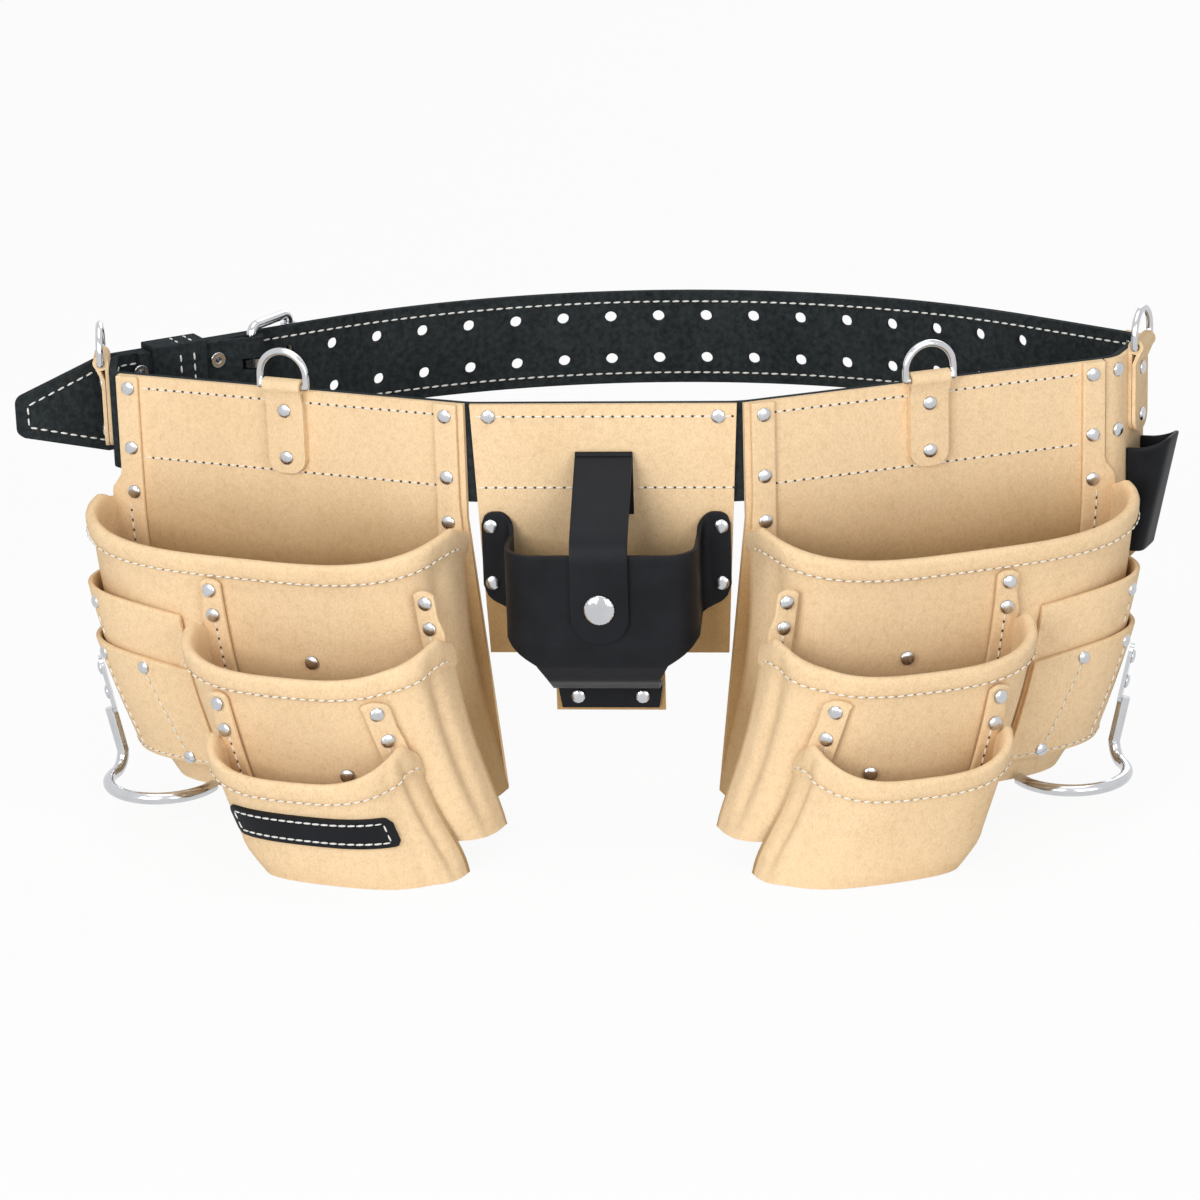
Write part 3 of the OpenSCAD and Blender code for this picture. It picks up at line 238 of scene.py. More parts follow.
def strap_spot(pose, side, z):
    """A point beside the strap's middle line, to the left of its heading."""
    x, y, heading = pose
    spot = (x - math.sin(heading) * side, y + math.cos(heading) * side, z)
    return Vector([v * MM for v in spot])


def bend(degrees, radius):
    return (radius, math.radians(degrees))


def strap_plan():
    """Poses of the strap: from the front's middle to both ends, then the back and the billet."""
    left_turn, right_turn, strap_turn = 17.5, 23.5, 34.0
    gap_r, centre_run, pouch_run = 30.0, 66.0, 192.0
    left_r, left_run, buckle_run = 7, 22, 70
    right_bend, right_r, right_run = 47, 14, 27
    billet_off, lead, billet_run = 3.8, 28.32 + 14, 80

    def front(turn_to):
        """The runs behind the centre panel and a pouch, with the bend between them."""
        cut = gap_r * math.tan(math.radians(abs(turn_to) / 2))
        return [(centre_run - cut, 0), bend(turn_to, gap_r), (pouch_run - cut, 0)]
    left_bend = bend(-(180 - left_turn - strap_turn) / 2, left_r)
    left_steps = front(-left_turn) + [left_bend, (left_run, 0), left_bend, (buckle_run, 0)]
    right_steps = front(right_turn) + [
        bend(right_bend, right_r), (right_run, 0),
        bend(180 - right_turn - strap_turn - right_bend, right_r)]
    left = poses_along((0, FRONT_Y, math.pi), left_steps)
    right = poses_along((0, FRONT_Y, 0), right_steps)
    turn = math.radians(strap_turn)
    end = left[-1]
    fold = (end[0] - math.sin(turn) * billet_off, end[1] + math.cos(turn) * billet_off, turn)
    back_end = walk(fold, (lead, 0))
    dx, dy = right[-1][0] - back_end[0], right[-1][1] - back_end[1]
    cross_len = (math.cos(turn) * dy + math.sin(turn) * dx) / math.sin(2 * turn)
    cross = walk(back_end, (cross_len, 0))
    run = math.hypot(cross[0] - right[-1][0], cross[1] - right[-1][1]) - cross_len
    back = poses_along(right[-1], [(run, 0), (cross_len / math.tan(turn), 2 * turn)])
    billet = poses_along(back[-1], [(lead + billet_run, 0)])
    return left, right, back, billet


# Settings that a user would change

def length_setting(name, description, default, low, high, precision=4):
    return FloatProperty(name=name, description=description, default=default, min=low, max=high,
                         unit="LENGTH", precision=precision)


def colour_setting(name, description, default):
    return FloatVectorProperty(name=name, description=description, default=default, size=3,
                               min=0, max=1, subtype="COLOR")


class ToolBeltSizes(bpy.types.PropertyGroup):
    """Sizes of the soft work."""
    roll: length_setting("Rim Roll", "Thickness that a rolled rim stands out by",
                         0.0019, 0.0008, 0.003)
    hem: length_setting("Hem Height", "Height of a pocket's hem above its stitch line",
                        0.0105, 0.006, 0.014)
    sag: length_setting("Sag", "Depth of the soft hollows in a pocket's wall", 0.0016, 0.0, 0.004)
    edge: length_setting("Edge Rounding", "Width of the rounded edge on cut leather",
                         0.0005, 0.0001, 0.001)
    stitch: length_setting("Stitch Length", "Visible length of one stitch", 0.0036, 0.002, 0.006)
    pitch: length_setting("Stitch Pitch", "Distance from one stitch to the next",
                          0.0047, 0.003, 0.008)
    thread: length_setting("Thread Width", "Width of the sewing thread", 0.0011, 0.0004, 0.0015, 5)


class ToolBeltColours(bpy.types.PropertyGroup):
    """Colours of the finishes."""
    tan: colour_setting("Tan Suede", "Colour of the pouches", (0.865, 0.645, 0.40))
    tan_dark: colour_setting("Tan Shade", "Colour of the nap laid the other way",
                             (0.70, 0.48, 0.255))
    black_suede: colour_setting("Black Suede", "Colour of the belt", (0.0168, 0.0205, 0.0222))
    black_leather: colour_setting("Black Leather", "Colour of the smooth leather",
                                  (0.0085, 0.0092, 0.0112))
    steel: colour_setting("Bright Steel", "Colour of the plated steel", (0.60, 0.61, 0.63))
    cream: colour_setting("Cream Thread", "Thread on the tan suede", (0.95, 0.90, 0.80))
    white: colour_setting("White Thread", "Thread on the black leather", (0.87, 0.87, 0.84))


def sizes():
    return bpy.context.scene.tool_belt_sizes


def colours():
    return bpy.context.scene.tool_belt_colours


# Materials

FINISHES = {}
# Painted shade: a panel's front darkens from the first height to the second (m), on faces whose
# normal y is below PANEL_FRONT; HOLLOW_SHADE is the colour multiplied in where shade is painted
PANEL_SHADE = (-0.012, -0.078)
PANEL_FRONT = -0.3
HOLLOW_SHADE = (0.54, 0.46, 0.335)


def finish(usual):
    """Lets the function below make a material the first time that its name is asked for."""
    def keep(build):
        def kept(name=usual, *values):
            if name not in FINISHES:
                mat = FINISHES[name] = bpy.data.materials.new(name)
                mat.use_nodes = True
                build(mat.node_tree, mat.node_tree.nodes["Principled BSDF"], *values)
            return FINISHES[name]
        return kept
    return keep


def scaled(colour, by):
    return tuple(v * by for v in colour)


def feed(socket, value):
    """Links an input to another node's output, or sets its value."""
    if isinstance(value, bpy.types.NodeSocket):
        socket.id_data.links.new(value, socket)
    else:
        socket.default_value = value


def set_inputs(node, **values):
    for name, value in values.items():
        feed(node.inputs[name.replace("_", " ")], value)


def add_node(tree, kind, **inputs):
    node = tree.nodes.new("ShaderNode" + kind)
    set_inputs(node, **inputs)
    return node


def add_noise(tree, scale, detail, stretch=(1, 1, 1), rough=0.6):
    coords = add_node(tree, "TexCoord")
    mapping = add_node(tree, "Mapping", Vector=coords.outputs["Object"], Scale=stretch)
    tex = add_node(tree, "TexNoise", Vector=mapping.outputs["Vector"],
                   Scale=scale, Detail=detail, Roughness=rough)
    return tex.outputs["Fac"]


def add_ramp(tree, source, stops):
    ramp = add_node(tree, "ValToRGB", Fac=source)
    points = ramp.color_ramp.elements
    while len(points) < len(stops):
        points.new(0.5)
    for point, (at, colour) in zip(points, stops):
        point.position = at
        point.color = (*colour, 1)
    return ramp.outputs["Color"]


def add_mix(tree, blend, factor, first, second):
    mix = add_node(tree, "Mix")
    mix.data_type = "RGBA"
    mix.blend_type = blend
    feed(mix.inputs[0], factor)
    feed(mix.inputs[6], first)
    feed(mix.inputs[7], (*second, 1) if isinstance(second, tuple) else second)
    return mix.outputs[2]


def add_math(tree, operation, first, second):
    node = add_node(tree, "Math")
    node.operation = operation
    feed(node.inputs[0], first)
    feed(node.inputs[1], second)
    return node.outputs[0]


def add_bump(tree, shader, layers):
    """Bumps from (height, strength, distance) layers, one over the other."""
    last = None
    for height, strength, distance in layers:
        bump = add_node(tree, "Bump", Strength=strength, Distance=distance, Height=height)
        if last:
            set_inputs(bump, Normal=last)
        last = bump.outputs["Normal"]
    set_inputs(shader, Normal=last)


def add_painted_shade(tree, panel):
    """Painted shade: how much to darken the suede, kept on a pocket's points, or from height on a
    panel's front.
    """
    if not panel:
        kept = add_node(tree, "Attribute")
        kept.attribute_name = "painted_hollow_shade"
        return kept.outputs["Fac"]
    coords = add_node(tree, "TexCoord")
    spot = add_node(tree, "SeparateXYZ", Vector=coords.outputs["Object"])
    facing = add_node(tree, "SeparateXYZ", Vector=coords.outputs["Normal"])
    span = add_node(tree, "MapRange", Value=spot.outputs["Z"],
                    From_Min=PANEL_SHADE[0], From_Max=PANEL_SHADE[1])
    span.interpolation_type = "SMOOTHSTEP"
    front = add_math(tree, "LESS_THAN", facing.outputs["Y"], PANEL_FRONT)
    return add_math(tree, "MULTIPLY", span.outputs["Result"], front)


@finish("pouch_suede")
def tan_suede(tree, shader, panel=False):
    """Tan suede, with shade painted darker where it lies deep in a pocket."""
    tan, shade = tuple(colours().tan), tuple(colours().tan_dark)
    blotch = add_noise(tree, 14, 4, (1, 1, 0.7))
    nap = add_noise(tree, 260, 6, rough=0.7)
    fibre = add_noise(tree, 1300, 3, (1, 1, 0.6))
    soil = add_noise(tree, 42, 5, rough=0.7)
    pale = tuple(min(1.0, v * 1.06) for v in tan)
    half = tuple((a + 2 * b) / 3 for a, b in zip(shade, tan))
    ground = add_ramp(tree, blotch, [(0.34, half), (0.5, tan), (0.7, pale)])
    fleck = add_ramp(tree, nap, [(0.32, shade), (0.5, tan), (0.68, pale)])
    grain = add_ramp(tree, fibre, [(0.34, (0.82, 0.79, 0.74)), (0.6, (1, 1, 1))])
    rubbed = add_ramp(tree, soil, [(0.58, (1, 1, 1)), (0.8, (0.90, 0.89, 0.89))])
    ground = add_mix(tree, "MIX", 0.62, fleck, ground)
    ground = add_mix(tree, "MULTIPLY", 0.6, ground, rubbed)
    base = add_mix(tree, "MULTIPLY", 0.6, ground, grain)
    # Painted shade: multiplies the suede towards HOLLOW_SHADE deep in pockets, behind them and low
    # on the panels
    base = add_mix(tree, "MULTIPLY", add_painted_shade(tree, panel), base, HOLLOW_SHADE)
    set_inputs(shader, Base_Color=base, Roughness=0.92, Specular_IOR_Level=0.18, Sheen_Weight=0.08,
               Sheen_Roughness=0.45, Sheen_Tint=(1.0, 0.9, 0.74, 1))
    add_bump(tree, shader, [(blotch, 0.3, 0.0014), (nap, 0.3, 0.0004), (fibre, 0.4, 0.00013)])


@finish("belt_suede")
def black_suede(tree, shader):
    dark = tuple(colours().black_suede)
    cloud = add_noise(tree, 34, 5, (1, 1, 0.6))
    nap = add_noise(tree, 320, 5)
    fibre = add_noise(tree, 1400, 3)
    ground = add_ramp(tree, cloud, [(0.3, scaled(dark, 0.7)), (0.7, scaled(dark, 1.7))])
    fleck = add_ramp(tree, nap, [(0.35, scaled(dark, 0.75)), (0.7, scaled(dark, 2.9))])
    set_inputs(shader, Base_Color=add_mix(tree, "MIX", 0.5, ground, fleck), Roughness=0.88,
               Specular_IOR_Level=0.06)
    add_bump(tree, shader, [(cloud, 0.2, 0.0006), (nap, 0.35, 0.0003), (fibre, 0.4, 0.00012)])


@finish("smooth_black_leather")
def smooth_black_leather(tree, shader):
    dark = tuple(colours().black_leather)
    cloud = add_noise(tree, 40, 4)
    pores = add_noise(tree, 900, 4)
    ground = add_ramp(tree, cloud, [(0.3, scaled(dark, 0.8)), (0.75, scaled(dark, 1.5))])
    gloss = add_ramp(tree, cloud, [(0.3, (0.42,) * 3), (0.7, (0.52,) * 3)])
    set_inputs(shader, Base_Color=ground, Roughness=gloss, Specular_IOR_Level=0.12)
    add_bump(tree, shader, [(cloud, 0.12, 0.0006), (pores, 0.18, 0.00012)])


@finish("bright_steel")
def bright_steel(tree, shader, rough=0.16):
    steel = tuple(colours().steel)
    film = add_noise(tree, 120, 4)
    scratch = add_noise(tree, 700, 3, (1, 1, 0.12))
    tint = add_ramp(tree, film, [(0.3, scaled(steel, 0.9)), (0.7, steel)])
    gloss = add_ramp(tree, scratch, [(0.3, (rough * 0.75,) * 3), (0.75, (rough * 1.35,) * 3)])
    set_inputs(shader, Base_Color=tint, Roughness=gloss, Metallic=1.0)
    add_bump(tree, shader, [(film, 0.05, 0.0003), (scratch, 0.04, 0.00005)])


@finish("cream_thread")
def sewing_thread(tree, shader, colour):
    ply = add_noise(tree, 2600, 2)
    tint = add_ramp(tree, ply, [(0.35, scaled(colour, 0.78)), (0.65, colour)])
    set_inputs(shader, Base_Color=tint, Roughness=0.7)
    add_bump(tree, shader, [(ply, 0.3, 0.0001)])


# Painted shade: dark dots under the thread stand in for the shade in the needle holes, which are
# not cut
@finish("needle_hole_shade")
def paint_needle_hole_shade(tree, shader):
    spread = add_noise(tree, 900, 2)
    tint = add_ramp(tree, spread, [(0.35, (0.05, 0.03, 0.018)), (0.65, (0.11, 0.07, 0.04))])
    set_inputs(shader, Base_Color=tint, Roughness=0.95)


# Modelling helpers

def only(obj):
    """Selects one object and makes it active, in object mode."""
    if bpy.context.mode != "OBJECT":
        bpy.ops.object.mode_set(mode="OBJECT")
    bpy.ops.object.select_all(action="DESELECT")
    if obj is not None:
        bpy.context.view_layer.objects.active = obj
        obj.select_set(True)
    return obj


def apply_modifier(obj, kind, **settings):
    only(obj)
    modifier = obj.modifiers.new(kind.title(), kind)
    for key, value in settings.items():
        setattr(modifier, key, value)
    bpy.ops.object.modifier_apply(modifier=modifier.name)


def edit_all(obj):
    only(obj)
    bpy.ops.object.mode_set(mode="EDIT")
    bpy.ops.mesh.select_all(action="SELECT")


def leave_edit():
    bpy.ops.object.mode_set(mode="OBJECT")


def grid(name, cols, rows, place):
    """A grid primitive whose points are moved to place(u, v), in metres."""
    only(None)
    bpy.ops.mesh.primitive_grid_add(x_subdivisions=cols, y_subdivisions=rows, size=2, calc_uvs=True)
    obj = bpy.context.active_object
    obj.name = obj.data.name = name
    for v in obj.data.vertices:
        v.co = place(min(1, max(0, (v.co.x + 1) / 2)), min(1, max(0, (v.co.y + 1) / 2)))
    return obj


def tidy_shell(obj, gap=0.00002):
    """Merges doubles and turns the faces outwards."""
    edit_all(obj)
    bpy.ops.mesh.remove_doubles(threshold=gap)
    bpy.ops.mesh.normals_make_consistent(inside=False)
    leave_edit()


def smooth(obj, degrees=40):
    only(obj)
    bpy.ops.object.shade_smooth_by_angle(angle=math.radians(degrees))


def round_edges(obj, width, degrees=50, segments=2):
    apply_modifier(obj, "BEVEL", width=width, segments=segments, limit_method="ANGLE",
                   angle_limit=math.radians(degrees), use_clamp_overlap=True, harden_normals=False)


def sheet_of(name, cols, rows, place, thickness, edge=None):
    """A leather sheet about the middle face place(u, v), with rounded edges."""
    obj = grid(name, cols, rows, place)
    tidy_shell(obj)
    apply_modifier(obj, "SOLIDIFY", thickness=thickness, offset=0, use_even_offset=True)
    tidy_shell(obj, 0.000001)
    round_edges(obj, sizes().edge if edge is None else edge)
    smooth(obj)
    return obj


def node_copy(node, edge=None, degrees=50):
    """A merged copy of a CAD node, with smooth faces and, for leather, rounded edges."""
    source = frame["nodes"][node]
    obj = bpy.data.objects.new(node + "_look", source.data.copy())
    bpy.context.scene.collection.objects.link(obj)
    obj.data.materials.clear()
    edit_all(obj)
    bpy.ops.mesh.remove_doubles(threshold=0.000002)
    if edge:
        bpy.ops.mesh.dissolve_limited(angle_limit=math.radians(0.6))
    leave_edit()
    if edge:
        round_edges(obj, edge, degrees)
    smooth(obj, 34)
    apply_modifier(obj, "WEIGHTED_NORMAL", mode="FACE_AREA", weight=50, keep_sharp=True)
    return obj


def joined(parts, name):
    only(parts[0])
    for part in parts[1:]:
        part.select_set(True)
    if len(parts) > 1:
        bpy.ops.object.join()
    parts[0].name = parts[0].data.name = name
    return parts[0]


def dress(obj, material, body="belt", replaces=()):
    """Gives a piece its material, body and slot, and hides the CAD nodes it stands for."""
    obj.data.materials.clear()
    obj.data.materials.append(material)
    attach(obj, body)
    if replaces:
        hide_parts(*replaces)
    return obj


def dress_node(node, material, body="belt", edge=None, degrees=50):
    """Stands a finished copy in for a CAD node."""
    return dress(node_copy(node, edge, degrees), material, body, [node])


# Pieces

def pocket_profile(index):
    """(share of height, stand-out) pairs: up outside, over the rolled rim and down inside."""
    p = POCKETS[index]
    high = tall(p)
    roll = sizes().roll / MM
    hem = sizes().hem / MM
    over_rim = (
        (hem, 0.55), (hem - 1.2, 0.9 * roll), (hem * 0.6, roll), (4.2, roll), (2.4, roll * 0.92),
        (1.1, roll * 0.62), (0.25, roll * 0.1), (0.0, -0.9), (0.2, -2.1), (1.1, -3.0),
        (2.6, -3.5), (5.0, -3.6), (hem - 1.5, -3.2), (hem + 1.5, -LEATHER_T),
    )
    outside = [(f, 0.0) for f in np.linspace(0, 1 - (hem + 1.4) / high, 15)]
    inside = [(f, -LEATHER_T) for f in np.linspace(1 - (hem + 8) / high, 0.02, 9)]
    return outside + [(1 - down / high, stand) for down, stand in over_rim] + inside


STRIP_W = 12.0
STRIP_EDGE = (95.0, 92.0)
FLANGE_REACH = (34, 46, 42)
FLOOR_UP, FLOOR_SHARE = 1.2, 0.012
# Painted shade: depth in mm below a rim over which a pocket's inside darkens fully, and how much of
# it is painted behind the next pocket's rim
SHADE_DEPTH, BEHIND_SHADE = 62, 0.9


def flange_x(p, index, inner, u, z):
    """Place of a pocket's flange along the panel, u from its free edge to the pocket's wall."""
    wall = width_at(p, share(p, z)) / 2 - 1.3
    if index == 0:
        edge, free = STRIP_EDGE[inner], STRIP_EDGE[inner] - STRIP_W
        wall += p.middle if inner else -p.middle
    else:
        level = width_at(p, (p.floor + z) / (p.floor + p.flange_top)) / 2
        edge, free = level - 4, level - 15
    edge += (wall - edge) * ease((8 - p.rim - z) / 10)
    x = free + (edge - free) * u
    if index == 0:
        return x if inner else -x
    return p.middle + (x if inner else -x)


def mark_painted_shade(obj, place, index):
    """Keeps on each point how much shade to paint: deeper in its pocket, or behind the next
    pocket's rim.
    """
    p = POCKETS[index]
    px, py, heading, hand = place
    c, s = math.cos(heading), math.sin(heading)
    values = []
    for v in obj.data.vertices:
        dx, dy, z = v.co.x / MM - px, v.co.y / MM - py, v.co.z / MM
        x, out = hand * (dx * c + dy * s) - hang(z), dx * s - dy * c - BELT_OUT
        base = carried(index, x, z)
        across = hand * (v.normal.x * c + v.normal.y * s)
        ahead = v.normal.x * s - v.normal.y * c
        lean = across * (x - p.middle) + ahead * (out - base - 0.4 * depth_at(p, share(p, z)))
        # Painted shade: inside faces darken with depth below the rim, outside faces behind the next
        # pocket's rim
        if lean < 0 or out - base < LEATHER_T + 0.5:
            values.append(ease((-p.rim - 2 - z) / SHADE_DEPTH))
            continue
        behind = 0.0
        if index < 2:
            q = POCKETS[index + 1]
            if abs(x - q.middle) < width_at(q, share(q, z)) / 2 - 3:
                behind = BEHIND_SHADE * ease((-q.rim + 4 - z) / SHADE_DEPTH)
        values.append(behind)
    kept = obj.data.attributes.new("painted_hollow_shade", "FLOAT", "POINT")
    kept.data.foreach_set("value", values)


def pocket_piece(side, index):
    """One gusseted pocket: a lofted wall with a rolled rim, its two flanges and its floor."""
    place = POUCH_PLACE[side]
    p = POCKETS[index]
    soft = sizes().sag / MM
    profile = pocket_profile(index)
    rows = len(profile)
    name = f"{side}_{POCKET_NAMES[index]}"

    def wall(u, v):
        k = v * rows
        f, out = profile[int(round(k)) % rows]
        bend = 0.5 - 0.5 * math.cos(math.pi * u)
        angle = math.pi * (0.45 * u + 0.55 * bend)
        return spot_on(place, *wall_spot(index, angle, f, out, soft))
    shell = grid(name, 96, rows, wall)
    edit_all(shell)
    bpy.ops.mesh.remove_doubles(threshold=0.00001)
    bpy.ops.mesh.select_all(action="DESELECT")
    bpy.ops.mesh.select_non_manifold(extend=False)
    bpy.ops.mesh.edge_face_add()
    bpy.ops.mesh.select_all(action="SELECT")
    bpy.ops.mesh.fill_holes(sides=0)
    bpy.ops.mesh.normals_make_consistent(inside=False)
    leave_edit()
    smooth(shell, 60)

    def floor(u, v):
        angle = math.pi * u
        edge, first, last = (Vector(wall_spot(index, a, FLOOR_SHARE, -FLOOR_UP, 0))
                             for a in (angle, 0, math.pi))
        at = edge.lerp(first.lerp(last, (1 - math.cos(angle)) / 2), v)
        return spot_on(place, at.x, at.y, -p.floor + FLOOR_UP)
    parts = [shell, sheet_of(name + "_floor", 40, 6, floor, LEATHER_T * MM, 0.0002)]

    for inner in (False, True):
        def flange(u, v, inner=inner):
            top, low = p.flange_top, -p.rim - FLANGE_REACH[index]
            z = low + (top - low) * v
            x = flange_x(p, index, inner, u, z)
            crown = 0.9 * (1 - (2 * u - 1) ** 2) * ease((top - z) / 10)
            base = carried(index, x, z)
            cut = 0 if index == 0 else 2.2 * (2 * u - 1) ** 2 * ease((z - top + 5) / 5)
            return spot_on(place, x + hang(z), base + LEATHER_T / 2 + 0.1 * crown, z - cut)
        parts.append(sheet_of(f"{name}_flange", 8, 30, flange, (LEATHER_T - 0.15) * MM, 0.0007))
    # Painted shade is kept on the points of every part
    for part in parts:
        mark_painted_shade(part, place, index)
    obj = joined(parts, name + "_leather")
    return dress(obj, tan_suede(), replaces=[name])


TOOL_FROM, TOOL_TO = math.radians(5), math.radians(80)
TOOL_TOP = (72.0, 100.0)
TOOL_LOW = (150.0, 158.0)
TOOL_DIP, TOOL_BELLY, TOOL_PINCH = 7.0, 4.5, 0.07
# Rivets of the upper (0) and lower (1) tool pocket at u, v, and seams from u, v to u, v
TOOL_RIVETS = ((0, 0.45, 0.9), (1, 0.45, 0.9), (1, 0.77, 0.9), (1, 0.85, 0.06))
TOOL_SEAMS = (
    (0, (0.03, 0.0), (0.03, 0.97)), (0, (0.45, 0.66), (0.45, 0.82)),
    (1, (0.45, 0.05), (0.45, 0.84)), (1, (0.845, 0.12), (0.775, 0.84)),
    (1, (0.04, 0.04), (0.99, 0.04)),
)


def tool_spot(index, u, v, off):
    """A point of a flat tool pocket's face, u towards the front and v up."""
    top = -TOOL_TOP[index] - TOOL_DIP * u + 2 * TOOL_DIP * u * (1 - u)
    z = -TOOL_LOW[index] + v * (top + TOOL_LOW[index])
    opened = min(1.0, max(0.0, (TOOL_LOW[0] + z) / (TOOL_LOW[0] - TOOL_TOP[0])))
    belly = TOOL_BELLY * (1 + index / 2) * math.sin(math.pi * u) ** 2 * opened
    gap = SOFT_GAP + index * (LEATHER_T + SOFT_GAP)
    gap -= (gap + 1.0) * (1 - ease(u / TOOL_PINCH))
    return main_spot(TOOL_FROM + (TOOL_TO - TOOL_FROM) * u, z, gap + belly + off)


def tool_face(side, index, u, v):
    """A tool pocket's outer face at u, v: the point at a distance off it."""
    place = POUCH_PLACE[side]
    return lambda off: spot_on(place, *tool_spot(index, u, v, LEATHER_T + off))


def tool_pocket_piece(side, index):
    name = f"{side}_{'upper' if index == 0 else 'lower'}_tool_pocket"

    def middle(u, v):
        return tool_face(side, index, u, v)(-LEATHER_T / 2)
    obj = sheet_of(name + "_leather", 40, 24, middle, LEATHER_T * MM)
    return dress(obj, tan_suede(), replaces=[name])


CUP_HW, CUP_D, CUP_R, EAR_R, EAR_LEN, CUP_T = 47.0, 42.0, 16.0, 4.0, 10.0, 2.2
CUP_RIM, CUP_DROP, CUP_FOOT, EAR_CORNER = 38.0, 102.0, 26.0, 6.0
CUP_A1 = CUP_HW - CUP_R
CUP_A2 = CUP_A1 + CUP_R * math.pi / 2
CUP_A3 = CUP_A2 + CUP_D - CUP_R - EAR_R
EAR_AT = CUP_A3 + EAR_R * math.pi / 2
CUP_FULL = EAR_AT + EAR_LEN
# Drop, depth and half length of the cup's sheet, from the foot up to the rim
CUP_ROWS = [
    (CUP_DROP + 28, 0, CUP_FOOT - 2), (CUP_DROP + 16, 0, CUP_FOOT), (CUP_DROP + 13, 7, CUP_FOOT),
    (CUP_DROP + 10, 20, CUP_FOOT), (CUP_DROP + 2, 33, CUP_FOOT + 1),
    (CUP_DROP - 8, CUP_D - 2, CUP_FOOT + 6), (CUP_RIM + 46, CUP_D, CUP_A1 + 18),
    (CUP_RIM + 40, CUP_D, EAR_AT - 2), (CUP_RIM + 34, CUP_D, CUP_FULL),
    (CUP_RIM + 16, CUP_D, CUP_FULL), (CUP_RIM, CUP_D, CUP_FULL),
]
EAR_FROM_ROW, EAR_MIDDLE, EAR_HALF, EAR_LIFT = 6, -CUP_RIM - 12.5, 21.5, 9


def cup_outline(q, depth):
    """Place and normal of the cup's sheet at a length q from its middle."""
    if q < CUP_A1:
        return q, depth, 0.0
    if q < CUP_A2:
        t = (q - CUP_A1) / CUP_R
        return CUP_A1 + CUP_R * math.sin(t), depth - CUP_R + CUP_R * math.cos(t), t
    if q < CUP_A3:
        return CUP_HW, depth - CUP_R - (q - CUP_A2), math.pi / 2
    if q < EAR_AT:
        t = (q - CUP_A3) / EAR_R
        return CUP_HW + EAR_R - EAR_R * math.cos(t), EAR_R - EAR_R * math.sin(t), math.pi / 2 - t
    return CUP_HW + EAR_R + q - EAR_AT, 0.0, 0.0


def cup_spot(u, v):
    """A point of the cup's middle face, u from left to right and v from the foot up."""
    at = v * (len(CUP_ROWS) - 1)
    k = min(len(CUP_ROWS) - 2, int(at))
    t = at - k
    drop, depth, length = (a + (b - a) * t for a, b in zip(CUP_ROWS[k], CUP_ROWS[k + 1]))
    j = 2 * u - 1
    marks = np.array([0, CUP_A1, CUP_A2, CUP_A3, EAR_AT, CUP_FULL]) / CUP_FULL
    q = float(np.interp(abs(j), [0, 0.22, 0.5, 0.62, 0.82, 1], marks)) * length
    x, y, turn = cup_outline(q, depth)
    lift = EAR_LIFT * ease((q - EAR_AT + 9) / 10) * ease(v * 10 - 9) if v > 0.9 else 0
    z = lift - drop
    over = (q - CUP_FULL + EAR_CORNER) / EAR_CORNER
    if over > 0 and k > EAR_FROM_ROW:
        cut = EAR_CORNER * (1 - math.sqrt(max(0.0, 1 - over * over)))
        z = EAR_MIDDLE + (z - EAR_MIDDLE) * (EAR_HALF - cut) / EAR_HALF
    x = x - CUP_T / 2 * math.sin(turn)
    y = PANEL_T + y + CUP_T - CUP_T / 2 * math.cos(turn)
    return spot_on(CENTRE_PLACE, math.copysign(x, j), y, z)


STRAP_W, STRAP_T = 28.0, 2.2
FLAP_IN = PANEL_T + CUP_D + CUP_T + SOFT_GAP
FLAP_MID = FLAP_IN + STRAP_T / 2
FLAP_LOW = CUP_RIM + 44
FLAP_TOP_Z = -CUP_RIM + 4
HINGE_OUT = PANEL_T + 1.7


def flap_path():
    """The flap's middle line, as (out, z) points from its fold to its round end."""
    start, end = Vector((HINGE_OUT, 0)), Vector((FLAP_MID, -FLAP_LOW))
    corner = Vector((FLAP_MID, FLAP_TOP_Z + 0.5))
    first = (corner - start).normalized()
    down = (end - corner).normalized()
    points = [start + first * 2.1, start + first * 12, corner - first * 16]
    for t in np.linspace(0, 1, 9):
        a, b = corner - first * 9, corner + down * 9
        points.append(a * (1 - t) ** 2 + corner * (2 * t * (1 - t)) + b * t ** 2)
    points += [corner + down * 22, end]
    return points


def lengths_along(points):
    """The length of a path up to each of its points."""
    out = [0.0]
    for a, b in zip(points, points[1:]):
        out.append(out[-1] + (b - a).length)
    return out


def step_at(lengths, at):
    """The step of a path in which the length at lies, and the share of it that is passed."""
    k = max(0, min(len(lengths) - 2, int(np.searchsorted(lengths, at)) - 1))
    return k, (at - lengths[k]) / max(1e-9, lengths[k + 1] - lengths[k])


def flap_spot(u, v):
    """A point of the flap's middle face, u across and v up from its round end."""
    lengths = lengths_along(FLAP_POINTS)
    passed = (1 - v) * lengths[-1]
    k, t = step_at(lengths, passed)
    at = FLAP_POINTS[k].lerp(FLAP_POINTS[k + 1], t)
    radius = STRAP_W / 2
    t = min(1.0, (lengths[-1] - passed) / radius)
    width = max(0.06, math.sqrt(max(0.0, 1 - (1 - t) ** 2)))
    return spot_on(CENTRE_PLACE, (2 * u - 1) * radius * width, at.x, at.y)


FLAP_POINTS = flap_path()


def holster_spot(u, v):
    """A point of the holster's bent front, u round it and v up to its flared mouth."""
    low, mouth, half, box, lip = -78.0, -24.0, 11.5, 0.42, 6.0
    z = low + (mouth - low) * v
    depth = 9 + 13 * v - 1
    angle = math.pi * u
    x = -half * signed_power(math.cos(angle), box)
    out = max(0.0, depth * max(0.0, math.sin(angle)) ** box)
    return spot_on(END_PLACE, x, PANEL_T + 0.2 + out, z + lip * math.sin(angle) * v)


PATCH_X = (POCKETS[2].middle - 42, POCKETS[2].middle + 40)
PATCH_Z = (-POCKETS[2].rim - RIM_SAG - 33, -POCKETS[2].rim - RIM_SAG - 18)


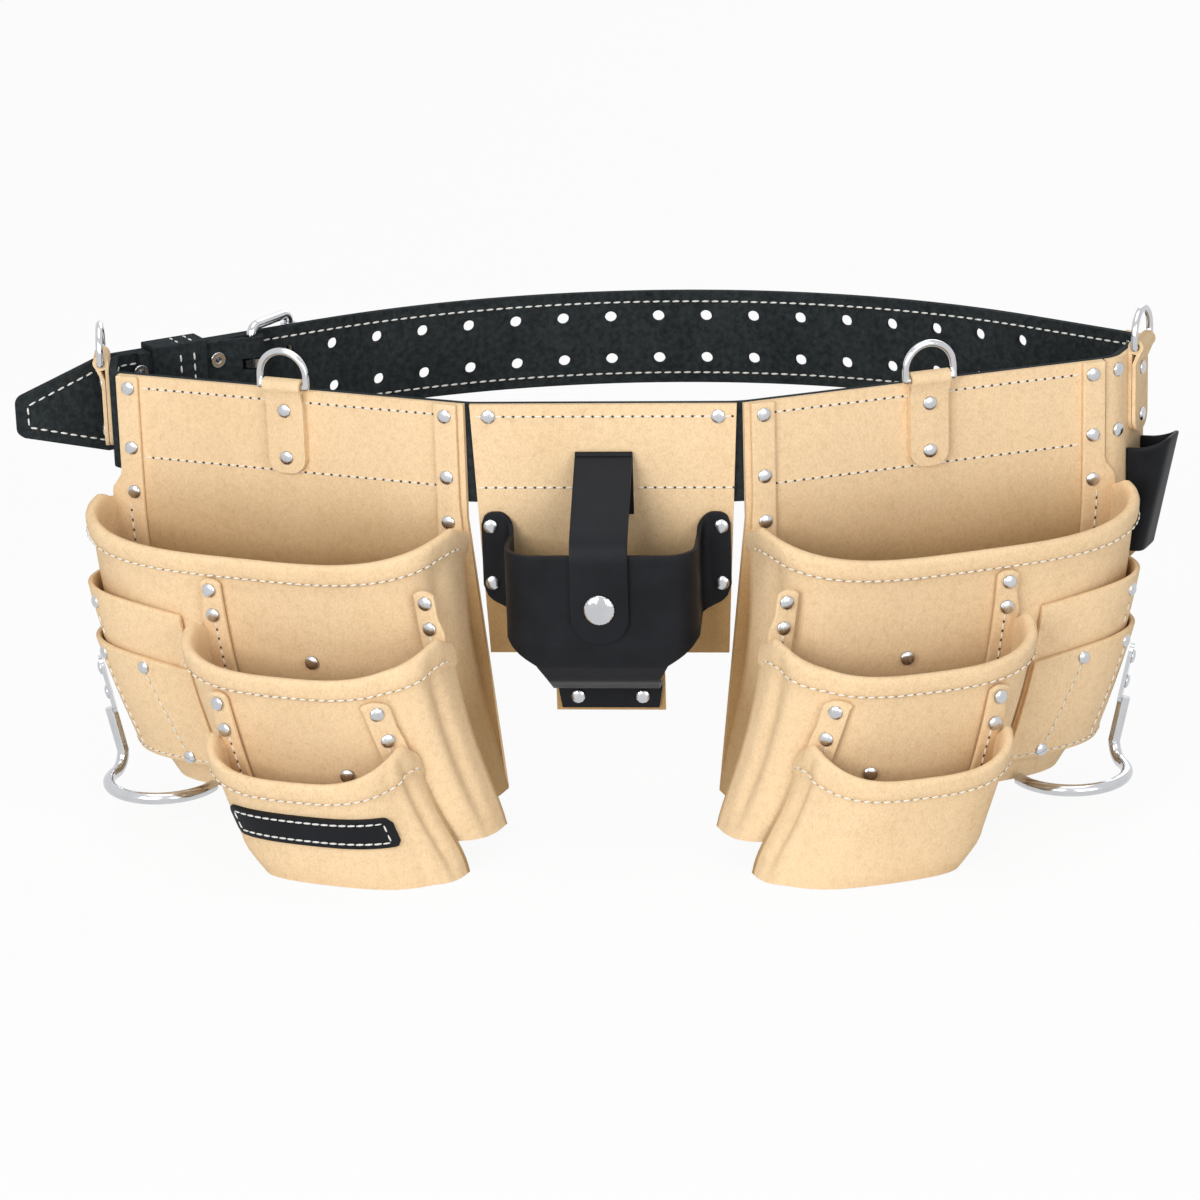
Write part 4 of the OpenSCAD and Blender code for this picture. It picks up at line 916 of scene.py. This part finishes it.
def patch_spot(u, v, off):
    """A point of the blank patch, with its four corners rounded."""
    wide, tall, r = PATCH_X[1] - PATCH_X[0], PATCH_Z[1] - PATCH_Z[0], 3.0
    x, z = (u - 0.5) * wide, (v - 0.5) * tall
    over = max(0.0, abs(x) - (wide / 2 - r))
    limit = tall / 2 - r + math.sqrt(max(0.0, r * r - over * over))
    z = z * limit / (tall / 2)
    x += sum(PATCH_X) / 2
    z += sum(PATCH_Z) / 2
    return spot_on(POUCH_PLACE["left"], x + hang(z), carried(3, x, z) - SOFT_GAP + off, z)


def patch_face(off):
    return lambda u, v: patch_spot(u, v, off)


# Stitching

class Threads:
    """Stitches of one colour, copied from one modelled stitch into one mesh."""

    def __init__(self):
        self.spots = []

    def line(self, path, normals, pitch=None, skip=0.4):
        """Lays stitches along a path of points, lying on the surface whose normals are given."""
        pitch = pitch or sizes().pitch
        points = [Vector(p) for p in path]
        lengths = lengths_along(points)
        count = max(1, int(round((lengths[-1] - skip * pitch) / pitch)))
        for i in range(count):
            k, t = step_at(lengths, (i + 0.5) * lengths[-1] / count)
            along = (points[k + 1] - points[k]).normalized()
            normal = Vector(normals[k]).lerp(Vector(normals[k + 1]), t).normalized()
            self.spots.append((points[k].lerp(points[k + 1], t), along, normal, pitch))

    def build(self, name, shape, length, width, lift, shift=0.0, turn=0.1):
        """Copies the shape to each stitch: length along, width across and lift off the surface."""
        base = np.array([v.co for v in shape.data.vertices])
        faces = [tuple(f.vertices) for f in shape.data.polygons]
        verts, polys = [], []
        for at, along, normal, pitch in self.spots:
            across = normal.cross(along).normalized()
            ahead = (along + across * turn).normalized()
            across = normal.cross(ahead).normalized()
            start = len(verts)
            middle = at + along * (shift * pitch) + normal * lift
            for x, y, z in base:
                beside = across * (y * width / 2) + normal * (z * width / 2.6)
                verts.append(middle + ahead * (x * length / 2) + beside)
            polys += [tuple(start + i for i in f) for f in faces]
        mesh = bpy.data.meshes.new(name)
        mesh.from_pydata([tuple(v) for v in verts], [], polys)
        obj = bpy.data.objects.new(name, mesh)
        bpy.context.scene.collection.objects.link(obj)
        tidy_shell(obj, 0.0000001)
        only(obj)
        bpy.ops.object.shade_smooth()
        return obj


def surface_line(place, spots, back):
    """Points of a line on a surface and its outward normals, from two readings of the surface."""
    points = [place(*s) for s in spots]
    under = [back(*s) for s in spots]
    return points, [(a - b).normalized() for a, b in zip(points, under)]


def between(first, last, count):
    """Points spread evenly from first to last."""
    return [tuple(a + (b - a) * t for a, b in zip(first, last)) for t in np.linspace(0, 1, count)]


def rim_line(side, index, down):
    """The stitch line under a pocket's rolled rim."""
    level = 1 - down / tall(POCKETS[index])
    place = POUCH_PLACE[side]

    def at(out):
        return lambda a: spot_on(place, *wall_spot(index, a, level, out, 0.0))
    stand = 0.9 * sizes().roll / MM
    angles = [(math.radians(a),) for a in np.linspace(3.0, 177.0, 70)]
    return surface_line(at(stand + 0.1), angles, at(stand - 1.0))


def flat_line(place, first, last):
    """A straight line on a panel's face from (x, z) to (x, z)."""
    def at(out):
        return lambda x, z: spot_on(place, x, out, z)
    return surface_line(at(PANEL_T), between(first, last, 24), at(PANEL_T - 1))


# Stage

FLOOR_GREY, FLOOR_GLOW, WORLD_LIGHT = 0.82, 0.93, 0.15
LAMPS = (
    ("key", (-1.0, -2.3, 0.9), 1.4, 41), ("fill", (1.4, -2.2, 0.7), 1.6, 25),
    ("top", (0.0, -0.2, 2.4), 2.0, 25), ("rear", (0.5, 2.3, 1.3), 1.6, 16),
)
LAMP_AIM = Vector((0, -0.05, -0.06))
CAMERA_EYE, CAMERA_AIM = Vector((0.19453, -2.14346, 0.61126)), Vector((-0.0076, -0.067, -0.08693))
CAMERA_ROLL, CAMERA_LENS = math.radians(-1.74), 132.03


def show_white(tree, lit, white, output, strength):
    """Mixes white in for the rays that show the background: to the eye, in metal and glass."""
    rays = add_node(tree, "LightPath")
    shown = rays.outputs["Is Camera Ray"]
    for kind in ("Is Glossy Ray", "Is Transmission Ray"):
        shown = add_math(tree, "MAXIMUM", shown, rays.outputs[kind])
    mix = add_node(tree, "MixShader", Fac=add_math(tree, "MULTIPLY", shown, strength))
    feed(mix.inputs[1], lit.outputs[0])
    feed(mix.inputs[2], white.outputs[0])
    set_inputs(tree.nodes[output], Surface=mix.outputs["Shader"])


# Operators

class ToolBeltStep:
    """What every step shares: it makes its pieces, or raises an error."""
    bl_options = {"REGISTER", "UNDO"}

    def execute(self, context):
        self.make()
        return {"FINISHED"}


class TOOLBELT_OT_stage(ToolBeltStep, bpy.types.Operator):
    """Add the pale floor, the soft light and the camera"""
    bl_idname = "tool_belt.stage"
    bl_label = "Stage"

    def make(self):
        scene = bpy.context.scene
        scene.view_settings.view_transform = "Standard"
        only(None)
        bpy.ops.mesh.primitive_plane_add(size=14, location=(0, 1.0, CAD_BOX[0][2] - 0.0004))
        floor = bpy.context.active_object
        floor.name = "floor"
        mat = bpy.data.materials.new("pale_floor")
        mat.use_nodes = True
        tree = mat.node_tree
        shader = tree.nodes["Principled BSDF"]
        set_inputs(shader, Base_Color=(FLOOR_GREY, FLOOR_GREY, FLOOR_GREY, 1), Roughness=0.9,
                   Specular_IOR_Level=0.1)
        glow = add_node(tree, "Emission", Color=(1, 1, 1, 1))
        show_white(tree, shader, glow, "Material Output", FLOOR_GLOW)
        floor.data.materials.append(mat)

        world = scene.world = bpy.data.worlds.new("studio")
        world.use_nodes = True
        tree = world.node_tree
        light = tree.nodes["Background"]
        set_inputs(light, Color=(1, 1, 1, 1), Strength=WORLD_LIGHT)
        white = add_node(tree, "Background", Color=(1, 1, 1, 1), Strength=1.0)
        show_white(tree, light, white, "World Output", 1.0)

        for name, at, size, power in LAMPS:
            bpy.ops.object.light_add(type="AREA", location=at)
            lamp = bpy.context.active_object
            lamp.name = name
            lamp.data.size = size
            lamp.data.energy = power
            lamp.rotation_euler = (LAMP_AIM - Vector(at)).to_track_quat("-Z", "Y").to_euler()

        bpy.ops.object.camera_add(location=CAMERA_EYE)
        camera = bpy.context.active_object
        look = (CAMERA_AIM - CAMERA_EYE).to_track_quat("-Z", "Y")
        camera.rotation_euler = (look @ Quaternion((0, 0, 1), CAMERA_ROLL)).to_euler()
        camera.data.lens = CAMERA_LENS
        camera.data.sensor_width = 36
        camera.data.clip_end = 50
        scene.camera = camera


class TOOLBELT_OT_belt(ToolBeltStep, bpy.types.Operator):
    """Finish the strap and its keeper in black suede"""
    bl_idname = "tool_belt.belt"
    bl_label = "Belt"

    def make(self):
        suede = black_suede()
        dress_node("belt_strap", suede, edge=0.0004, degrees=60)
        dress_node("belt_keeper", suede, edge=0.0007)


class TOOLBELT_OT_buckle(ToolBeltStep, bpy.types.Operator):
    """Finish the buckle in bright steel"""
    bl_idname = "tool_belt.buckle"
    bl_label = "Buckle"

    def make(self):
        steel = bright_steel()
        for node, body in (("frame", "belt"), ("roller", "roller"), ("rivets", "belt"),
                           ("prong_upper", "upper_prong"), ("prong_lower", "lower_prong")):
            dress_node("buckle_" + node, steel, body, 0.0003)


class TOOLBELT_OT_panels(ToolBeltStep, bpy.types.Operator):
    """Finish the panels that hang on the strap in tan suede"""
    bl_idname = "tool_belt.panels"
    bl_label = "Panels"

    def make(self):
        # Painted shade on the panels' fronts, darker lower down behind the pockets
        suede = tan_suede("panel_suede", True)
        for node in ("left_back_panel", "right_back_panel", "centre_panel", "right_end_panel"):
            dress_node(node, suede, edge=sizes().edge)


class TOOLBELT_OT_pockets(ToolBeltStep, bpy.types.Operator):
    """Loft the six gusseted pockets"""
    bl_idname = "tool_belt.pockets"
    bl_label = "Pockets"

    def make(self):
        for side in SIDES:
            for index in range(len(POCKETS)):
                pocket_piece(side, index)


class TOOLBELT_OT_tool_pockets(ToolBeltStep, bpy.types.Operator):
    """Lay the flat tool pockets round the main pockets' outer corners"""
    bl_idname = "tool_belt.tool_pockets"
    bl_label = "Tool Pockets"

    def make(self):
        for side in SIDES:
            for index in range(len(TOOL_TOP)):
                tool_pocket_piece(side, index)


class TOOLBELT_OT_hammer_loops(ToolBeltStep, bpy.types.Operator):
    """Finish the hammer loops in bright steel"""
    bl_idname = "tool_belt.hammer_loops"
    bl_label = "Hammer Loops"

    def make(self):
        for side in SIDES:
            dress_node(side + "_hammer_loop", bright_steel(), edge=0.0003)


class TOOLBELT_OT_tape_holder(ToolBeltStep, bpy.types.Operator):
    """Make the tape cup, its strap and flap, and finish the snap"""
    bl_idname = "tool_belt.tape_holder"
    bl_label = "Tape Holder"

    def make(self):
        leather = smooth_black_leather()
        cup = sheet_of("tape_cup_leather", 72, 60, cup_spot, CUP_T * MM, 0.0006)
        dress(cup, leather, replaces=["tape_cup"])
        dress_node("tape_strap", leather, edge=0.0004)
        flap = sheet_of("tape_flap_leather", 16, 60, flap_spot, STRAP_T * MM, 0.0006)
        dress(flap, leather, "flap", ["tape_flap"])
        dress_node("snap_cap", bright_steel("snap_nickel", 0.1), "flap")
        dress_node("snap_stud", bright_steel())


class TOOLBELT_OT_holster(ToolBeltStep, bpy.types.Operator):
    """Bend the small holster at the right end"""
    bl_idname = "tool_belt.holster"
    bl_label = "Holster"

    def make(self):
        holster = sheet_of("tool_holster_leather", 40, 20, holster_spot, 2.0 * MM, 0.0006)
        dress(holster, smooth_black_leather(), replaces=["tool_holster"])


class TOOLBELT_OT_patch(ToolBeltStep, bpy.types.Operator):
    """Lay the blank patch on the left front pocket"""
    bl_idname = "tool_belt.patch"
    bl_label = "Blank Patch"

    def make(self):
        patch = sheet_of("blank_patch_leather", 60, 12, patch_face(0.3), 2.6 * MM, 0.0007)
        dress(patch, smooth_black_leather(), replaces=["blank_patch"])


class TOOLBELT_OT_rings(ToolBeltStep, bpy.types.Operator):
    """Finish the ring tabs and the rings"""
    bl_idname = "tool_belt.rings"
    bl_label = "Rings"

    def make(self):
        for name in ("left_end_ring", "left_front_ring", "right_front_ring", "right_end_ring"):
            dress_node(name + "_tab", tan_suede(), edge=sizes().edge)
            dress_node(name, bright_steel(), name)


RIVET_NODES = (
    "left_pocket_rivets", "right_pocket_rivets", "left_hammer_loop_rivets", "panel_rivets",
    "right_hammer_loop_rivets", "tape_cup_rivets", "end_panel_rivets", "ring_tab_rivets",
)
HEAD_R, HEAD_FLAT, HEAD_SINK = 3.4, 0.5, 0.2


class TOOLBELT_OT_rivets(ToolBeltStep, bpy.types.Operator):
    """Finish the rivets, and set those of the tool pockets"""
    bl_idname = "tool_belt.rivets"
    bl_label = "Rivets"

    def make(self):
        nickel = bright_steel("rivet_nickel", 0.24)
        for node in RIVET_NODES:
            dress_node(node, nickel)
        for side in SIDES:
            heads = [self.head(tool_face(side, *rivet)) for rivet in TOOL_RIVETS]
            dress(joined(heads, side + "_tool_pocket_rivets"), nickel)

    def head(self, face):
        """A domed head on the face that face(off) gives."""
        at = face(0)
        turn = (face(1) - at).to_track_quat("Z", "Y")
        only(None)
        bpy.ops.mesh.primitive_uv_sphere_add(segments=24, ring_count=12, radius=HEAD_R * MM)
        head = bpy.context.active_object
        for point in head.data.vertices:
            point.co.z = max(-HEAD_SINK, point.co.z / MM * HEAD_FLAT) * MM
            point.co = at + turn @ point.co
        head.location = (0, 0, 0)
        smooth(head)
        return head


SEAM_Z, POUCH_SEAM = (19.0, -17.0), (-82, 79)
CENTRE_SEAMS = ((-63, 63, SEAM_Z[0]), (-63, -15, SEAM_Z[1]), (15, 63, SEAM_Z[1]))
# Sizes of the dark dots painted as shade in the needle holes of seams and hems
SEAM_HOLE, HEM_HOLE = 0.0014, 0.0006
BELT_PITCH, PATCH_PITCH = 0.0052, 0.0042
BELT_SEAM = 19.5
TIP_AT, TIP_SEAM = (0, 22, 42.5), (BELT_SEAM, 12.4, 5.6)
KEEPER_ROWS, KEEPER_FACE, KEEPER_DEEP = (-41.5, -34.0), 8.3, 7.0
KEEPER_HALF, KEEPER_TOP = 23.0, 27.75


class TOOLBELT_OT_stitching(ToolBeltStep, bpy.types.Operator):
    """Sew the pouches in cream thread, and the belt, keeper and patch in white"""
    bl_idname = "tool_belt.stitching"
    bl_label = "Stitching"

    def make(self):
        cream, hems, white = Threads(), Threads(), Threads()
        for side in SIDES:
            self.pouch(cream, hems, side)
        for x0, x1, z in CENTRE_SEAMS:
            cream.line(*flat_line(CENTRE_PLACE, (x0, z), (x1, z)))
        self.belt(white)
        self.patch(white)
        only(None)
        bpy.ops.mesh.primitive_uv_sphere_add(segments=6, ring_count=4, radius=1,
                                             rotation=(0, math.pi / 2, 0))
        bpy.ops.object.transform_apply(location=False, rotation=True, scale=False)
        stitch = bpy.context.active_object
        s, c = sizes(), colours()
        for seams, name, hole in ((cream, "seam", SEAM_HOLE), (hems, "hem", HEM_HOLE)):
            thread = seams.build(name + "_thread", stitch, s.stitch, s.thread, s.thread * 0.2)
            dress(thread, sewing_thread("cream_thread", tuple(c.cream)))
            # Painted shade: a dark dot under each stitch for its needle hole
            holes = seams.build(name + "_holes", stitch, hole, hole * 0.9, 0.00002, 0.5, 0)
            dress(holes, paint_needle_hole_shade())
        thread = white.build("white_thread", stitch, s.stitch * 1.15, s.thread, s.thread * 0.15,
                             turn=0.05)
        dress(thread, sewing_thread("white_thread", tuple(c.white)))
        bpy.data.objects.remove(stitch)

    def pouch(self, cream, hems, side):
        place = POUCH_PLACE[side]
        for z in SEAM_Z:
            cream.line(*flat_line(place, (POUCH_SEAM[0], z), (POUCH_SEAM[1], z)))
        for index, p in enumerate(POCKETS):
            hems.line(*rim_line(side, index, sizes().hem / MM - 1.0))
            top, low = (-40.0, -66.0) if index == 0 else (-p.rim - 2.0, -p.rim - 40.0)
            heights = [(z,) for z in np.linspace(top, low, 20)]
            for inner in (False, True):
                def seam(z, out, p=p, index=index, inner=inner):
                    x = flange_x(p, index, inner, 0.42, z)
                    return spot_on(place, x + hang(z), carried(index, x, z) + LEATHER_T + out, z)
                cream.line(*surface_line(lambda z: seam(z, 0.05), heights, lambda z: seam(z, -1)))
        for index, first, last in TOOL_SEAMS:
            faces = [tool_face(side, index, *spot) for spot in between(first, last, 24)]
            hems.line(*surface_line(lambda face: face(0.1), [(f,) for f in faces],
                                    lambda face: face(-1)))

    def belt(self, white):
        left, right, back, billet = strap_plan()
        taper = [walk(billet[-1], (d, 0)) for d in TIP_AT]
        round_back = back + billet[1:]

        def along(poses, face, heights):
            points = [strap_spot(p, face, z) for p, z in zip(poses, heights)]
            under = [strap_spot(p, face * 0.5, z) for p, z in zip(poses, heights)]
            normals = [(a - b).normalized() for a, b in zip(points, under)]
            white.line(points, normals, pitch=BELT_PITCH)
        for m in (1, -1):
            along(left, -BELT_OUT, [BELT_SEAM * m] * len(left))
            along(right, BELT_OUT, [BELT_SEAM * m] * len(right))
            for face in (BELT_OUT, -BELT_OUT):
                along(round_back, face, [BELT_SEAM * m] * len(round_back))
                along(taper, face, [z * m for z in TIP_SEAM])
        for face in (BELT_OUT, -BELT_OUT):
            along([taper[-1]] * 2, face, [TIP_SEAM[-1], -TIP_SEAM[-1]])
        for x in KEEPER_ROWS:
            pose = walk(left[-1], (x, 0))
            for face in (KEEPER_FACE, -KEEPER_FACE):
                along([pose, pose], face, [KEEPER_HALF, -KEEPER_HALF])
            for z in (KEEPER_TOP, -KEEPER_TOP):
                ends = [strap_spot(pose, f, z) for f in (-KEEPER_DEEP, KEEPER_DEEP)]
                white.line(ends, [Vector((0, 0, math.copysign(1, z)))] * 2, pitch=BELT_PITCH)

    def patch(self, white):
        u, v = 0.035, 0.17
        corners = [(u, v), (1 - u, v), (1 - u, 1 - v), (u, 1 - v)]
        for first, last in zip(corners, corners[1:] + corners[:1]):
            line = surface_line(patch_face(1.65), between(first, last, 20), patch_face(0.6))
            white.line(*line, pitch=PATCH_PITCH)


class TOOLBELT_PT_pieces(bpy.types.Panel):
    """Lists the steps that dress the tool belt"""
    bl_idname = "TOOLBELT_PT_pieces"
    bl_label = "Tool Belt"
    bl_space_type = "VIEW_3D"
    bl_region_type = "UI"
    bl_category = "Tool Belt"

    def draw(self, context):
        for group in (context.scene.tool_belt_sizes, context.scene.tool_belt_colours):
            box = self.layout.box()
            for key in group.__annotations__:
                box.prop(group, key)
        for step in STEPS:
            self.layout.operator(step.bl_idname)


STEPS = (
    TOOLBELT_OT_stage, TOOLBELT_OT_belt, TOOLBELT_OT_buckle, TOOLBELT_OT_panels,
    TOOLBELT_OT_pockets, TOOLBELT_OT_tool_pockets, TOOLBELT_OT_hammer_loops,
    TOOLBELT_OT_tape_holder, TOOLBELT_OT_holster, TOOLBELT_OT_patch, TOOLBELT_OT_rings,
    TOOLBELT_OT_rivets, TOOLBELT_OT_stitching,
)
CLASSES = (ToolBeltSizes, ToolBeltColours) + STEPS + (TOOLBELT_PT_pieces,)


def register():
    for cls in CLASSES:
        bpy.utils.register_class(cls)
    bpy.types.Scene.tool_belt_sizes = PointerProperty(type=ToolBeltSizes)
    bpy.types.Scene.tool_belt_colours = PointerProperty(type=ToolBeltColours)


def unregister():
    del bpy.types.Scene.tool_belt_colours
    del bpy.types.Scene.tool_belt_sizes
    for cls in reversed(CLASSES):
        bpy.utils.unregister_class(cls)


def main():
    register()
    for step in STEPS:
        group, name = step.bl_idname.split(".")
        getattr(getattr(bpy.ops, group), name)()
    only(None)


if __name__ == "__main__":
    main()
